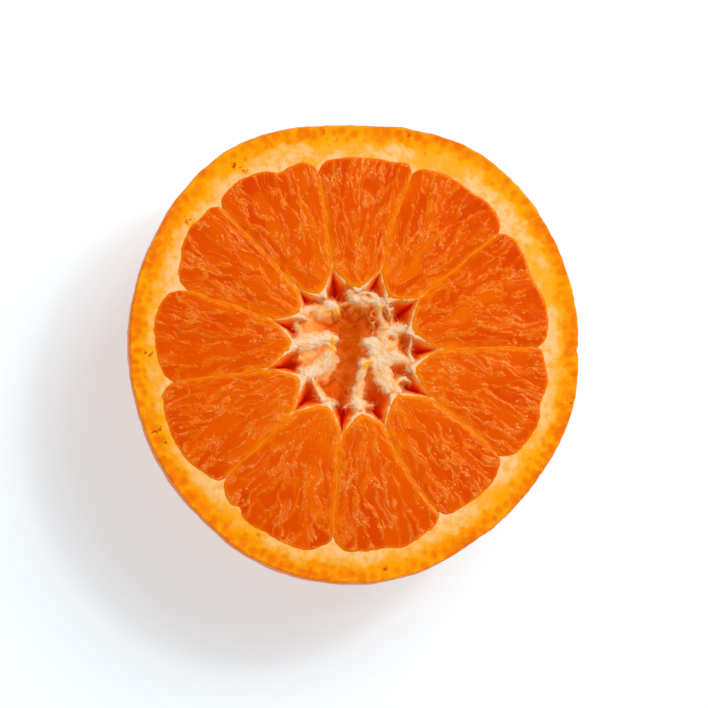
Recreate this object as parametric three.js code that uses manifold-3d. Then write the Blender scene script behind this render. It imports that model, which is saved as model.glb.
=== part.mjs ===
// Half of an orange, cut across its equator and lying on its rind with the cut face up.
// Millimetres, +Z up. The origin is the middle of the small flat spot that it rests on.
// The half is one solid: rind, membranes, segments and core have grown together, so they
// are relief in its surface. Its skin is a grid of rings and columns, like a globe's: the
// rings start at the floor of the hollow core, climb its wall, cross the pulp and the rind,
// and run down the outside to the resting spot. Every segment has the same number of columns.

import * as THREE from 'three';
import { mergeVertices } from 'three/addons/utils/BufferGeometryUtils.js';
import Module from 'manifold-3d';

// The half as a whole
const CUT_HEIGHT = 33;        // resting spot to cut face
const REST_RADIUS = 5.5;      // flat spot that it rests on
const BULGE_DEPTH = 3;        // the fruit is widest this far under the cut
const BULGE_GAIN = 1.006;     // and this much wider there than at the cut
const RIM_STEP = 15;          // degrees between the rim radii below
const RIM_RADII = [           // outside of the rind at the cut, counter-clockwise from +X
  34.9, 35.3, 35.6, 36.3, 36.4, 35.8, 35.4, 36.1, 36.7, 36.6, 35.7, 35.3,
  34.9, 34.6, 34.7, 34.8, 35.4, 35.7, 35.5, 35.4, 34.6, 34.4, 34.6, 35.0,
];
const RIM_ROUNDING = 0.4;     // the cut edge of the rind is slightly rounded
const RIND_DIP = 0.2;         // the soft white of the rind dries a little lower than its skin
const SKIN_WAVE = 0.12;       // slow unevenness of the outside, as two sets of lobes
const SKIN_LOBES = [7, 11];
const SKIN_TWIST = [0.31, -0.43];

// The eleven segments, counter-clockwise, each point as its bearing in degrees and its
// radius. The membrane in front of a segment runs from `core` out to `rind`. The segment's
// round inner end is nearest to the axis at `tip`. `back` holds the radius of its outer
// side at a quarter, a half and three quarters of its width.
const SEGMENTS = [
  { core: [2.4, 12.9], rind: [1.7, 28.7], tip: [22.7, 9.6], back: [30.7, 30.3, 30.6] },
  { core: [40.2, 13.0], rind: [39.7, 29.2], tip: [57.3, 10.1], back: [31.3, 31.2, 31.3] },
  { core: [72.4, 13.3], rind: [72.1, 29.4], tip: [87.8, 10.0], back: [30.4, 30.4, 30.4] },
  { core: [105.2, 13.3], rind: [101.5, 28.8], tip: [121.4, 10.6], back: [30.6, 31.6, 32.2] },
  { core: [131.9, 13.2], rind: [132.9, 30.7], tip: [144.2, 10.6], back: [31.8, 31.8, 30.6] },
  { core: [158.9, 13.6], rind: [160.0, 27.9], tip: [171.7, 9.9], back: [31.2, 31.3, 30.6] },
  { core: [190.9, 13.6], rind: [189.5, 28.7], tip: [205.6, 9.5], back: [31.0, 30.9, 30.5] },
  { core: [224.1, 13.2], rind: [224.3, 28.4], tip: [243.3, 9.4], back: [30.5, 31.2, 31.7] },
  { core: [260.8, 12.9], rind: [263.2, 29.1], tip: [276.7, 9.6], back: [31.0, 30.9, 30.5] },
  { core: [292.3, 12.3], rind: [298.2, 28.1], tip: [312.3, 9.3], back: [29.2, 29.5, 29.2] },
  { core: [329.3, 13.5], rind: [324.3, 27.7], tip: [345.0, 9.7], back: [30.4, 30.2, 30.4] },
];
const TIP_POWER = 1.85;       // roundness of the inner ends
const CORNER_SHARE = 0.25;    // part of the width over which the outer corners round off
const CORNER_POWER = 2.2;
const MEMBRANE = 0.5;         // the membrane round the inner ends is this thick

// Relief of the cut pulp
const GROOVE_DEPTH = 0.45;    // along the membranes
const GROOVE_WIDTH = 0.7;
const BACK_GROOVE = 0.25;     // between pulp and rind
const EDGE_DROP = 0.5;        // rounding of the inner ends
const EDGE_SHARE = 0.1;       // part of the length over which both ends round off
const SWELL = 0.15;           // every segment stands up a little in its middle
const VESICLE_HEIGHT = 0.45;
const VESICLES_ACROSS = 4;
const VESICLES_ALONG = 4;
const VESICLE_SPREAD = 0.6;   // half a vesicle's size, in spacings
const SEED = 41;

// Hollow core
const HOLLOW_DEPTH = 14.5;
const HOLLOW_EDGE_DROP = 0.6; // the torn rim of the hollow lies this far under the cut
const FLOOR_SHARE = 0.5;      // width of the floor against the top of the hollow
const FLOOR_BUMP = 0.8;
const FLOOR_LOBES = 3;

// Torn strands of white pith in the hollow: points are x, y and depth under the cut
const STRANDS = [
  { from: [10.8, -2.9, 3.6], via: [6.4, -0.8, 3.0], to: [2.9, -0.6, 3.6], width: 4.4, height: 3.0 },
  { from: [7.4, -8.4, 4.6], via: [7.3, -5.0, 3.8], to: [6.0, -1.6, 3.2], width: 3.0, height: 2.6 },
  { from: [10.2, 4.3, 4.2], via: [7.0, 3.0, 3.6], to: [5.0, 1.0, 3.2], width: 2.4, height: 2.2 },
  { from: [-11.2, 1.5, 3.2], via: [-7.0, 1.2, 3.0], to: [-3.6, 1.2, 4.2], width: 2.0, height: 1.8 },
  { from: [-9.9, -4.7, 5.2], via: [-6.8, -3.4, 4.4], to: [-4.6, -2.8, 5.0], width: 2.8, height: 2.4 },
  { from: [-10.0, 7.2, 2.8], via: [-6.2, 6.6, 2.6], to: [-3.7, 5.9, 3.4], width: 2.4, height: 1.8 },
  { from: [0.8, 11.8, 3.0], via: [1.4, 9.4, 2.8], to: [1.9, 7.4, 3.8], width: 3.2, height: 2.2 },
  { from: [0.9, -11.2, 3.6], via: [1.1, -6.5, 3.4], to: [1.9, -2.4, 4.2], width: 1.8, height: 1.8 },
];

// Fineness of the skin
const COLUMNS_PER_SEGMENT = 12;
const FLOOR_RINGS = 3;
const WALL_RINGS = 4;
const PULP_RINGS = 15;
const RIND_RINGS = 3;
const DOME_RINGS = 10;
const STRAND_SIDES = 9;
const STRAND_STEPS = 8;
const CROWDING = 0.6;         // how much the columns crowd towards the membranes
const WELD = 1e-3;

const SEGMENT_COUNT = SEGMENTS.length;
const COLUMNS = SEGMENT_COUNT * COLUMNS_PER_SEGMENT;
const MEAN_RIM = RIM_RADII.reduce((sum, radius) => sum + radius, 0) / RIM_RADII.length;
const { lerp, clamp, degToRad, smoothstep } = THREE.MathUtils;

// A repeatable draw from 0 to 1
function makeRandom(seed) {
  let state = seed;
  return () => {
    state = (Math.imul(state, 1664525) + 1013904223) >>> 0;
    return state / 2 ** 32;
  };
}

// A smooth curve through values that stand at even steps, the last joined to the first
function roundTrip(values, place) {
  const count = values.length;
  const index = Math.floor(place);
  const t = place - index;
  const [a, b, c, d] = [-1, 0, 1, 2].map((step) => values[(index + step + count) % count]);
  return b + 0.5 * t * (c - a + t * (2 * a - 5 * b + 4 * c - d + t * (3 * (b - c) + d - a)));
}

function rimRadius(bearing) {
  return roundTrip(RIM_RADII, (((bearing % 360) + 360) % 360) / RIM_STEP);
}

// The two membranes of a segment. The next one's first membrane closes this one, and past
// the last it is a full turn on.
function membranesOf(index) {
  const { core, rind } = SEGMENTS[(index + 1) % SEGMENT_COUNT];
  const turn = index + 1 === SEGMENT_COUNT ? 360 : 0;
  const closing = { core: [core[0] + turn, core[1]], rind: [rind[0] + turn, rind[1]] };
  return [SEGMENTS[index], closing];
}

// Radius of a segment's round inner end, across = 0 to 1 from membrane to membrane
function innerRadius(index, across) {
  const [first, closing] = membranesOf(index);
  const [tipBearing, tipRadius] = SEGMENTS[index].tip;
  const middle = (tipBearing - first.core[0]) / (closing.core[0] - first.core[0]);
  const before = across < middle;
  const away = before ? (middle - across) / middle : (across - middle) / (1 - middle);
  const corner = before ? first.core[1] : closing.core[1];
  return lerp(tipRadius, corner, away ** TIP_POWER);
}

// Radius of its outer side, which rounds down into the peel's wedge at both corners
function outerRadius(index, across) {
  const [first, closing] = membranesOf(index);
  const [quarter, half, threeQuarters] = SEGMENTS[index].back;
  const crown = across < 0.5
    ? lerp(quarter, half, smoothstep(across, 0.25, 0.5))
    : lerp(half, threeQuarters, smoothstep(across, 0.5, 0.75));
  const corner = across < 0.5 ? first.rind[1] : closing.rind[1];
  const inwards = Math.min(Math.min(across, 1 - across) / CORNER_SHARE, 1);
  return lerp(corner, crown, 1 - (1 - inwards) ** CORNER_POWER);
}

// Bearing in a segment; outwards = 0 at the hollow and 1 at the rind
function bearingIn(index, across, outwards) {
  const [start, end] = membranesOf(index).map(({ core, rind }) => lerp(core[0], rind[0], outwards));
  return lerp(start, end, across);
}

// Juice vesicles of every segment: long bumps that point away from the axis
function scatterVesicles() {
  const random = makeRandom(SEED);
  const between = (low, high) => lerp(low, high, random());
  return SEGMENTS.map(() => {
    const vesicles = [];
    for (let row = 0; row < VESICLES_ALONG; row += 1) {
      const shift = row % 2 ? 0.5 : 0;
      for (let column = 0; column < VESICLES_ACROSS; column += 1) {
        vesicles.push({
          across: (column + shift + between(0.25, 0.75)) / VESICLES_ACROSS,
          along: (row + between(0.2, 0.8)) / VESICLES_ALONG,
          width: (VESICLE_SPREAD * between(0.7, 1.3)) / VESICLES_ACROSS,
          length: (VESICLE_SPREAD * between(0.9, 1.7)) / VESICLES_ALONG,
          height: VESICLE_HEIGHT * between(0.4, 1),
          lean: between(-0.15, 0.15),
        });
      }
    }
    return vesicles;
  });
}

const VESICLES = scatterVesicles();

function vesicleHeight(index, across, outwards) {
  let top = 0;
  for (const { across: side, along, width, length, height, lean } of VESICLES[index]) {
    const forward = outwards - along;
    const sideways = across - side - lean * forward;
    const rest = 1 - (sideways / width) ** 2 - (forward / length) ** 2;
    top = Math.max(top, height * Math.sqrt(Math.max(rest, 0)));
  }
  return top;
}

// Height of the cut pulp
function pulpHeight(index, across, outwards) {
  const inner = innerRadius(index, across);
  const outer = outerRadius(index, across);
  const width = degToRad(bearingIn(index, 1, outwards) - bearingIn(index, 0, outwards));
  const toMembrane = Math.min(across, 1 - across) * width * lerp(inner, outer, outwards);
  const groove = GROOVE_DEPTH * Math.exp(-((toMembrane / GROOVE_WIDTH) ** 2));
  const atTip = clamp(1 - outwards / EDGE_SHARE, 0, 1) ** 2;
  const atBack = clamp(1 - (1 - outwards) / EDGE_SHARE, 0, 1) ** 2;
  const inside = (1 - atTip) * (1 - atBack) * Math.min(1, toMembrane / GROOVE_WIDTH);
  const raised = inside * (SWELL * Math.sin(Math.PI * across) + vesicleHeight(index, across, outwards));
  return CUT_HEIGHT - groove - EDGE_DROP * atTip - BACK_GROOVE * atBack + raised;
}

// Width of the fruit at a depth under the cut, against its rim
const DOME_REACH = (CUT_HEIGHT - BULGE_DEPTH) / Math.sqrt(1 - (REST_RADIUS / (MEAN_RIM * BULGE_GAIN)) ** 2);

function domeShare(depth) {
  if (depth < BULGE_DEPTH) {
    return lerp(1, BULGE_GAIN, Math.sin(((depth / BULGE_DEPTH) * Math.PI) / 2));
  }
  return BULGE_GAIN * Math.sqrt(1 - ((depth - BULGE_DEPTH) / DOME_REACH) ** 2);
}

function skinWave(bearing, depth) {
  const turn = degToRad(bearing);
  const fade = Math.sin((Math.PI * depth) / CUT_HEIGHT);
  const lobes = SKIN_LOBES.map((count, i) => Math.sin(count * turn + SKIN_TWIST[i] * depth));
  return SKIN_WAVE * fade * (lobes[0] + lobes[1]);
}

// Each ring maps a segment and a place across it to a bearing, a radius and a height

function floorRing(step) {
  const share = (FLOOR_SHARE * step) / FLOOR_RINGS;
  return (index, across) => {
    const bearing = bearingIn(index, across, 0);
    const bump = FLOOR_BUMP * share * Math.sin(degToRad(FLOOR_LOBES * bearing) + step);
    const radius = share * (innerRadius(index, across) - MEMBRANE);
    return [bearing, radius, CUT_HEIGHT - HOLLOW_DEPTH + bump];
  };
}

function wallRing(step) {
  const rise = step / WALL_RINGS;
  const share = lerp(FLOOR_SHARE, 1, Math.sin((rise * Math.PI) / 2));
  const depth = lerp(HOLLOW_DEPTH, HOLLOW_EDGE_DROP, rise);
  return (index, across) => {
    const radius = share * (innerRadius(index, across) - MEMBRANE);
    return [bearingIn(index, across, 0), radius, CUT_HEIGHT - depth];
  };
}

function pulpRing(step) {
  const outwards = step / PULP_RINGS;
  return (index, across) => {
    const radius = lerp(innerRadius(index, across), outerRadius(index, across), outwards);
    return [bearingIn(index, across, outwards), radius, pulpHeight(index, across, outwards)];
  };
}

function rindRing(step) {
  const share = step / RIND_RINGS;
  return (index, across) => {
    const bearing = bearingIn(index, across, 1);
    const radius = lerp(outerRadius(index, across), rimRadius(bearing) - RIM_ROUNDING, share);
    return [bearing, radius, CUT_HEIGHT - RIND_DIP * Math.sin(Math.PI * share)];
  };
}

// The dome's rings stand at even angles round its section
function domeRing(step) {
  const angle = ((Math.PI / 2) * step) / DOME_RINGS;
  const depth = Math.min(lerp(RIM_ROUNDING, DOME_REACH + BULGE_DEPTH, Math.sin(angle)), CUT_HEIGHT);
  return (index, across) => {
    const bearing = bearingIn(index, across, 1);
    return [bearing, rimRadius(bearing) * domeShare(depth) + skinWave(bearing, depth), CUT_HEIGHT - depth];
  };
}

function pole(height) {
  return (index, across) => [bearingIn(index, across, 0), 0, height];
}

function countUp(first, last, makeRing) {
  return Array.from({ length: last - first + 1 }, (_, step) => makeRing(first + step));
}

const RINGS = [
  pole(CUT_HEIGHT - HOLLOW_DEPTH),
  ...countUp(1, FLOOR_RINGS - 1, floorRing),
  ...countUp(0, WALL_RINGS, wallRing),
  ...countUp(0, PULP_RINGS, pulpRing),
  ...countUp(1, RIND_RINGS, rindRing),
  ...countUp(0, DOME_RINGS, domeRing),
  pole(0),
];

// The membranes need the finest columns, because the grooves run along them
function acrossAt(column) {
  const even = (column % COLUMNS_PER_SEGMENT) / COLUMNS_PER_SEGMENT;
  return even - (CROWDING * Math.sin(2 * Math.PI * even)) / (2 * Math.PI);
}

// A globe's grid, pole to pole, with every point moved to its ring and column
function makeSkin() {
  const geometry = new THREE.SphereGeometry(1, COLUMNS, RINGS.length - 1);
  const { position } = geometry.attributes;
  RINGS.forEach((ring, row) => {
    for (let column = 0; column <= COLUMNS; column += 1) {
      const index = Math.floor((column % COLUMNS) / COLUMNS_PER_SEGMENT);
      const [bearing, radius, height] = ring(index, acrossAt(column));
      const turn = degToRad(bearing);
      const place = row * (COLUMNS + 1) + column;
      position.setXYZ(place, radius * Math.cos(turn), radius * Math.sin(turn), height);
    }
  });
  return geometry;
}

// A strand is a ball drawn out along a curve, flattened and rounded at both ends
function makeStrand({ from, via, to, width, height }) {
  const points = [from, via, to].map(([x, y, depth]) => new THREE.Vector3(x, y, CUT_HEIGHT - depth));
  const path = new THREE.CatmullRomCurve3(points);
  const geometry = new THREE.SphereGeometry(1, STRAND_SIDES, STRAND_STEPS);
  const { position } = geometry.attributes;
  const local = new THREE.Vector3();
  const up = new THREE.Vector3(0, 0, 1);
  for (let i = 0; i < position.count; i += 1) {
    local.fromBufferAttribute(position, i);
    const along = (1 + local.y) / 2;
    const ahead = path.getTangent(along);
    const side = new THREE.Vector3().crossVectors(ahead, up).normalize();
    const lift = new THREE.Vector3().crossVectors(side, ahead);
    const place = path.getPoint(along)
      .addScaledVector(side, (local.x * width) / 2)
      .addScaledVector(lift, (local.z * height) / 2);
    position.setXYZ(i, place.x, place.y, place.z);
  }
  return geometry;
}

const wasm = await Module();
wasm.setup();

function toSolid(geometry) {
  geometry.deleteAttribute('normal');
  geometry.deleteAttribute('uv');
  const welded = mergeVertices(geometry, WELD);
  const corners = welded.index.array;
  const sound = [];
  for (let i = 0; i < corners.length; i += 3) {
    const [a, b, c] = corners.slice(i, i + 3);
    if (a !== b && b !== c && c !== a) sound.push(a, b, c);
  }
  const mesh = new wasm.Mesh({
    numProp: 3,
    vertProperties: Float32Array.from(welded.attributes.position.array),
    triVerts: Uint32Array.from(sound),
  });
  return new wasm.Manifold(mesh);
}

function toGeometry(solid) {
  const { vertProperties, triVerts } = solid.getMesh();
  const geometry = new THREE.BufferGeometry();
  geometry.setAttribute('position', new THREE.BufferAttribute(vertProperties, 3));
  geometry.setIndex(new THREE.BufferAttribute(triVerts, 1));
  geometry.computeVertexNormals();
  return geometry;
}

function makeOrangeHalf() {
  const skin = toSolid(makeSkin());
  const solid = STRANDS.reduce((whole, strand) => whole.add(toSolid(makeStrand(strand))), skin);
  const material = new THREE.MeshStandardMaterial({ color: 0xe65a00, roughness: 0.4, metalness: 0 });
  const mesh = new THREE.Mesh(toGeometry(solid), material);
  mesh.name = 'orange_half';
  return mesh;
}

const group = new THREE.Group();
group.add(makeOrangeHalf());

export default group;
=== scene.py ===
"""Half an orange, cut across its segments and lying on its rind.

Run as a script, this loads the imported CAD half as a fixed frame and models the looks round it: the
peel, the segments with their juice sacs, the membranes between them, the walls of the torn hollow
core, and the white pith that hangs in it.
"""

import math
from contextlib import contextmanager
from functools import partial

import bpy
import numpy as np
from mathutils import Matrix, Vector
from mathutils.kdtree import KDTree


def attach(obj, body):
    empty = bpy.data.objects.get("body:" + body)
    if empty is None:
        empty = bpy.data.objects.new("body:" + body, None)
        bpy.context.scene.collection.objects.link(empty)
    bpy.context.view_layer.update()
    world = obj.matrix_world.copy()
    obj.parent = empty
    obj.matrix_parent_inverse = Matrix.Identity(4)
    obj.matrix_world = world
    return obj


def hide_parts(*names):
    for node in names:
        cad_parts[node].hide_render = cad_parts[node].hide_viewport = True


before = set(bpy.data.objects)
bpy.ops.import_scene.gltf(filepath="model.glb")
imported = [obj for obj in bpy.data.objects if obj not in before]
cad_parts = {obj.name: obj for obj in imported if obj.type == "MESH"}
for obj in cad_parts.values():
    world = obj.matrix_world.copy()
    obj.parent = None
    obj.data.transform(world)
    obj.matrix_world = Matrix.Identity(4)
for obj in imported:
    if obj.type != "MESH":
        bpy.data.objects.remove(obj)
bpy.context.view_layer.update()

bl_info = {
    "name": "Orange half",
    "version": (1, 0, 0),
    "blender": (4, 5, 0),
    "location": "View3D > Sidebar > Orange half",
    "description": "Models an orange half: peel, juice sacs, membranes, hollow core and torn pith",
    "category": "Add Mesh",
}

MM = 0.001
SOLID = "orange_half"

# ---------------------------------------------------------------- the fruit's own measures, in mm

REST_RADIUS = 5.5        # flat spot that the half rests on
BULGE_DEPTH = 3.0        # the fruit is widest this far under the cut
BULGE_GAIN = 1.006       # and this much wider there than at the cut
RIM_STEP = 15            # degrees between the rim radii, counter-clockwise from +X
RIM_RADII = [34.9, 35.3, 35.8, 36.4, 36.7, 35.9, 35.4, 36.1, 37.0, 36.6, 35.7, 35.3,
             34.9, 34.6, 34.7, 34.8, 35.4, 35.7, 35.7, 35.4, 34.6, 34.4, 34.6, 35.0]
SKIN_WAVE = 0.12         # slow unevenness of the outside, as two sets of lobes
SKIN_LOBES = (7, 11)
SKIN_TWIST = (0.31, -0.43)

# Each segment: where its first membrane leaves the hollow, its round inner end, how far that
# membrane bows sideways on its way out (degrees), and its outer side, all as (bearing, radius)
SEGMENTS = [
    dict(core=(2.4, 12.9), tip=(22.7, 9.6), bow=0.0,
         back=[(1.7, 28.7), (5.7, 30.1), (9, 30.6), (15, 30.8), (23, 30.1), (31, 30.6),
               (36, 30.4), (38, 29.8), (39.7, 29.2)]),
    dict(core=(40.2, 13.0), tip=(57.3, 10.1), bow=0.0,
         back=[(39.7, 29.2), (41, 29.9), (43, 30.6), (48, 31.4), (54, 31.1), (60, 31.3),
               (66, 31.0), (69, 30.5), (72.1, 29.4)]),
    dict(core=(72.4, 13.3), tip=(87.8, 10.0), bow=1.0,
         back=[(72.1, 29.4), (73.5, 30.1), (78, 30.4), (86, 30.5), (94, 30.4), (99, 29.8),
               (101.5, 28.8)]),
    dict(core=(105.2, 13.3), tip=(121.4, 10.6), bow=-1.2,
         back=[(101.5, 28.8), (104, 30.1), (110, 30.6), (113.5, 30.4), (115.5, 31.2),
               (120, 31.9), (124.5, 32.2), (129, 31.8), (132.9, 30.7)]),
    dict(core=(131.9, 13.2), tip=(144.2, 10.6), bow=0.0,
         back=[(132.9, 30.7), (135, 31.4), (139.7, 31.8), (143, 32.1), (146, 31.8),
               (149.7, 31.3), (152, 30.7), (155, 30.2), (157, 29.6), (160.0, 27.9)]),
    dict(core=(158.9, 13.6), tip=(171.7, 9.9), bow=0.0,
         back=[(160.0, 27.9), (161.5, 29.3), (163.7, 30.4), (166, 31.0), (170, 31.4),
               (173, 31.5), (176, 31.2), (183, 30.5), (186, 29.9), (189.5, 28.7)]),
    dict(core=(190.9, 13.6), tip=(205.6, 9.5), bow=0.0,
         back=[(189.5, 28.7), (192, 30.2), (195, 30.7), (198, 31.0), (210, 31.2), (213, 31.0),
               (216, 30.5), (218, 30.1), (221, 29.5), (224.3, 28.4)]),
    dict(core=(224.1, 13.2), tip=(243.3, 9.4), bow=0.0,
         back=[(224.3, 28.4), (228, 29.8), (231.5, 30.4), (233, 30.1), (236, 31.0),
               (244, 31.3), (251, 31.7), (258, 31.3), (260, 30.5), (263.2, 29.1)]),
    dict(core=(260.8, 12.9), tip=(276.7, 9.6), bow=0.0,
         back=[(263.2, 29.1), (265, 29.9), (267, 30.7), (270, 31.0), (279, 30.8), (285, 31.2),
               (288, 30.8), (291, 30.2), (294, 29.8), (298.2, 28.1)]),
    dict(core=(292.3, 12.3), tip=(312.3, 9.3), bow=-1.4,
         back=[(298.2, 28.1), (301, 28.9), (306, 29.3), (311, 29.5), (316, 29.5), (319, 29.1),
               (324.3, 27.7)]),
    dict(core=(329.3, 13.5), tip=(345.0, 9.7), bow=0.0,
         back=[(324.3, 27.7), (327, 29.1), (330, 29.8), (333, 30.2), (339, 30.7), (345, 30.1),
               (351, 30.5), (354, 30.2), (356, 29.8), (361.7, 28.7)]),
]
COUNT = len(SEGMENTS)
CORNER_REACH, CORNER_FULLNESS = 0.75, 0.38   # mm
TIP_POWER = 1.85         # roundness of the inner ends
NICK_BEARING, NICK_DEPTH = 0.8, 0.3   # a small nick in the rind's edge, in degrees and mm
NICK_REACH = 0.8         # degrees to either side
PULP_INSIDE, PULP_OUTSIDE = 11.0, 28.0   # usual reach of the pulp from the middle, in mm

# Torn pith: the points that each strand of the sheet runs through, as (x, y, depth under the
# cut, half width)
STRANDS = [
    # flap at the upper left, between two segment ends
    [(-8.2, 6.1, 0.9, 0.55), (-6.9, 6.9, 1.5, 0.7), (-5.1, 6.8, 1.5, 1.0),
     (-3.4, 7.2, 1.3, 0.85), (-2.7, 6.3, 1.7, 0.5)],
    [(-5.4, 8.7, 0.7, 0.38), (-4.7, 7.9, 1.3, 0.35), (-3.6, 7.5, 1.4, 0.5)],
    # peach skin that hangs from the flap towards the floor
    [(-7.9, 5.4, 1.9, 0.6), (-6.4, 4.9, 2.6, 1.2), (-4.9, 4.5, 3.4, 1.4),
     (-3.7, 4.2, 4.6, 1.2), (-2.9, 4.1, 6.0, 0.9)],
    [(-5.3, 5.9, 2.1, 0.6), (-3.9, 5.6, 2.8, 0.6)],
    # edge of thin tissue along the cleft at the left
    [(-8.5, 5.6, 1.1, 0.3), (-9.0, 4.8, 1.4, 0.35), (-8.8, 3.8, 1.7, 0.4),
     (-8.0, 2.9, 1.8, 0.55), (-6.3, 2.5, 1.7, 0.6)],
    [(-8.1, 4.5, 2.1, 0.6), (-6.9, 3.7, 2.4, 0.8), (-5.6, 3.5, 2.9, 0.7)],
    # strand from the left end
    [(-10.0, 1.5, 0.5, 0.65), (-8.6, 1.6, 0.9, 0.85), (-6.6, 1.9, 1.2, 0.95),
     (-4.6, 2.3, 1.3, 0.8), (-3.1, 2.2, 1.4, 0.55)],
    # skin behind it, as far as the diagonal strand
    [(-8.5, 0.5, 1.7, 0.5), (-7.0, 0.3, 2.4, 1.0), (-5.2, 0.6, 2.5, 0.9), (-4.0, 1.1, 2.0, 0.6)],
    [(-8.3, -0.9, 2.0, 0.55), (-7.1, -1.0, 2.7, 1.1), (-5.7, -0.7, 2.8, 1.0),
     (-4.6, -0.3, 2.3, 0.6)],
    [(-8.2, -2.5, 1.7, 0.45), (-7.4, -2.4, 2.3, 0.8), (-6.4, -2.0, 2.3, 0.7)],
    # diagonal strand to the lower left end
    [(-3.4, 0.5, 1.5, 0.45), (-4.1, -0.6, 1.5, 0.75), (-5.2, -1.9, 1.5, 0.9),
     (-6.5, -3.0, 1.2, 0.9), (-8.1, -3.8, 0.6, 0.7)],
    [(-3.1, -1.2, 2.2, 0.75), (-4.0, -2.5, 2.4, 0.95), (-5.2, -3.9, 2.4, 0.8)],
    [(-6.6, -3.9, 1.5, 0.5), (-6.1, -4.9, 1.7, 0.4), (-5.4, -6.1, 1.6, 0.4),
     (-4.7, -7.3, 1.1, 0.45), (-3.7, -8.1, 0.6, 0.6)],
    # tissue low on the wall at the bottom left
    [(-4.6, -5.4, 4.2, 0.7), (-3.4, -5.4, 5.4, 1.4), (-2.4, -6.4, 6.4, 1.3)],
    # mass that hangs at the top
    [(-0.4, 9.4, 0.5, 0.65), (0.1, 8.7, 0.9, 0.9), (0.8, 8.0, 1.5, 1.3),
     (0.6, 7.2, 2.6, 1.4), (0.5, 6.4, 4.2, 1.0)],
    [(-1.9, 7.6, 2.4, 0.15), (-1.0, 7.9, 1.9, 0.25), (0.1, 8.3, 1.4, 0.4)],
    [(2.2, 7.4, 2.6, 0.7), (2.6, 6.5, 4.2, 0.7)],
    # curled strand to the end at the upper right, and its loop
    [(0.9, 9.5, 0.7, 0.25), (2.0, 9.4, 0.9, 0.28), (3.0, 8.9, 1.0, 0.35),
     (3.8, 8.1, 1.0, 0.45), (5.0, 8.1, 0.6, 0.6)],
    [(1.5, 8.6, 1.2, 0.22), (2.4, 8.2, 1.3, 0.28), (3.2, 7.7, 1.3, 0.35), (4.0, 7.2, 1.2, 0.4)],
    [(4.9, 8.0, 0.6, 0.6), (4.1, 7.1, 1.1, 0.5), (4.1, 6.1, 1.9, 0.45),
     (4.4, 5.2, 2.1, 0.5), (4.9, 4.5, 1.8, 0.5)],
    [(3.5, 7.2, 1.8, 0.08), (2.7, 6.2, 2.8, 0.06), (2.6, 5.2, 3.2, 0.07),
     (3.2, 4.2, 3.1, 0.06), (3.1, 3.1, 2.8, 0.15)],
    [(2.9, 5.8, 2.9, 0.12), (3.6, 5.2, 3.0, 0.12), (3.0, 4.6, 3.1, 0.12)],
    [(5.0, 7.5, 0.8, 0.12), (5.4, 6.4, 1.2, 0.08), (5.8, 5.5, 1.5, 0.08),
     (5.9, 4.7, 1.5, 0.18)],
    [(5.9, 7.1, 1.3, 0.13), (5.5, 6.6, 1.3, 0.12)],
    # upper part of the right mass
    [(8.7, 3.6, 0.5, 0.7), (7.5, 3.9, 1.0, 0.75), (6.2, 3.8, 1.4, 0.9),
     (4.9, 3.7, 1.6, 0.7)],
    [(4.5, 2.7, 1.8, 0.8), (5.9, 3.1, 1.9, 0.6), (6.6, 2.2, 2.2, 0.6), (6.0, 1.5, 2.0, 0.6)],
    [(4.7, 2.3, 1.9, 0.45), (5.1, 1.5, 1.7, 0.5)],
    # right mass
    [(2.0, 1.7, 1.3, 0.6), (3.0, 1.3, 1.2, 1.0), (4.2, 0.6, 1.3, 1.3),
     (5.7, 0.0, 1.6, 1.2), (7.3, -0.8, 1.7, 0.9), (8.9, -1.4, 1.4, 0.5)],
    [(2.6, -0.1, 1.7, 0.6), (3.9, -1.1, 1.9, 1.2), (5.7, -1.2, 2.1, 0.9)],
    # its branch to the lower right end
    [(3.7, -1.4, 1.6, 1.0), (4.25, -2.9, 1.6, 1.45), (5.0, -4.4, 1.5, 1.4),
     (5.8, -5.5, 1.2, 1.0), (6.8, -6.1, 0.6, 0.65)],
    # strand up from the bottom end, with two pointed wings
    [(1.5, -1.3, 1.4, 0.45), (2.8, -1.5, 1.3, 0.45)],
    [(1.45, -1.9, 1.5, 0.6), (1.15, -3.4, 1.9, 0.72), (0.85, -5.3, 1.9, 0.85),
     (0.4, -7.2, 1.5, 0.95), (0.8, -9.0, 0.5, 0.6)],
    [(-1.4, -8.4, 1.9, 0.1), (-0.4, -7.9, 1.6, 0.4), (1.1, -7.9, 1.5, 0.5),
     (2.9, -8.1, 1.8, 0.1)],
    # right end, its small lump, and the thin strand above it
    [(9.7, -2.6, 0.5, 0.6), (8.9, -2.4, 0.8, 0.5), (8.4, -2.3, 1.1, 0.25)],
    [(6.5, -4.9, 1.6, 0.3), (7.4, -4.0, 1.3, 0.36), (8.8, -4.4, 1.2, 0.08)],
    [(8.9, 3.1, 0.8, 0.14), (9.0, 1.9, 1.3, 0.1), (8.6, 0.6, 1.5, 0.16), (9.1, -1.2, 1.3, 0.2)],
]
DEPTH_BLEND, BORDER_BLEND = 2.4, 5.0   # how sharply strands join, for each mm
KEY_POWER, SPARK_POWER, FILL_POWER = 3.0, 0.6, 0.75   # watts
ROOM_LIGHT = 0.88

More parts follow.
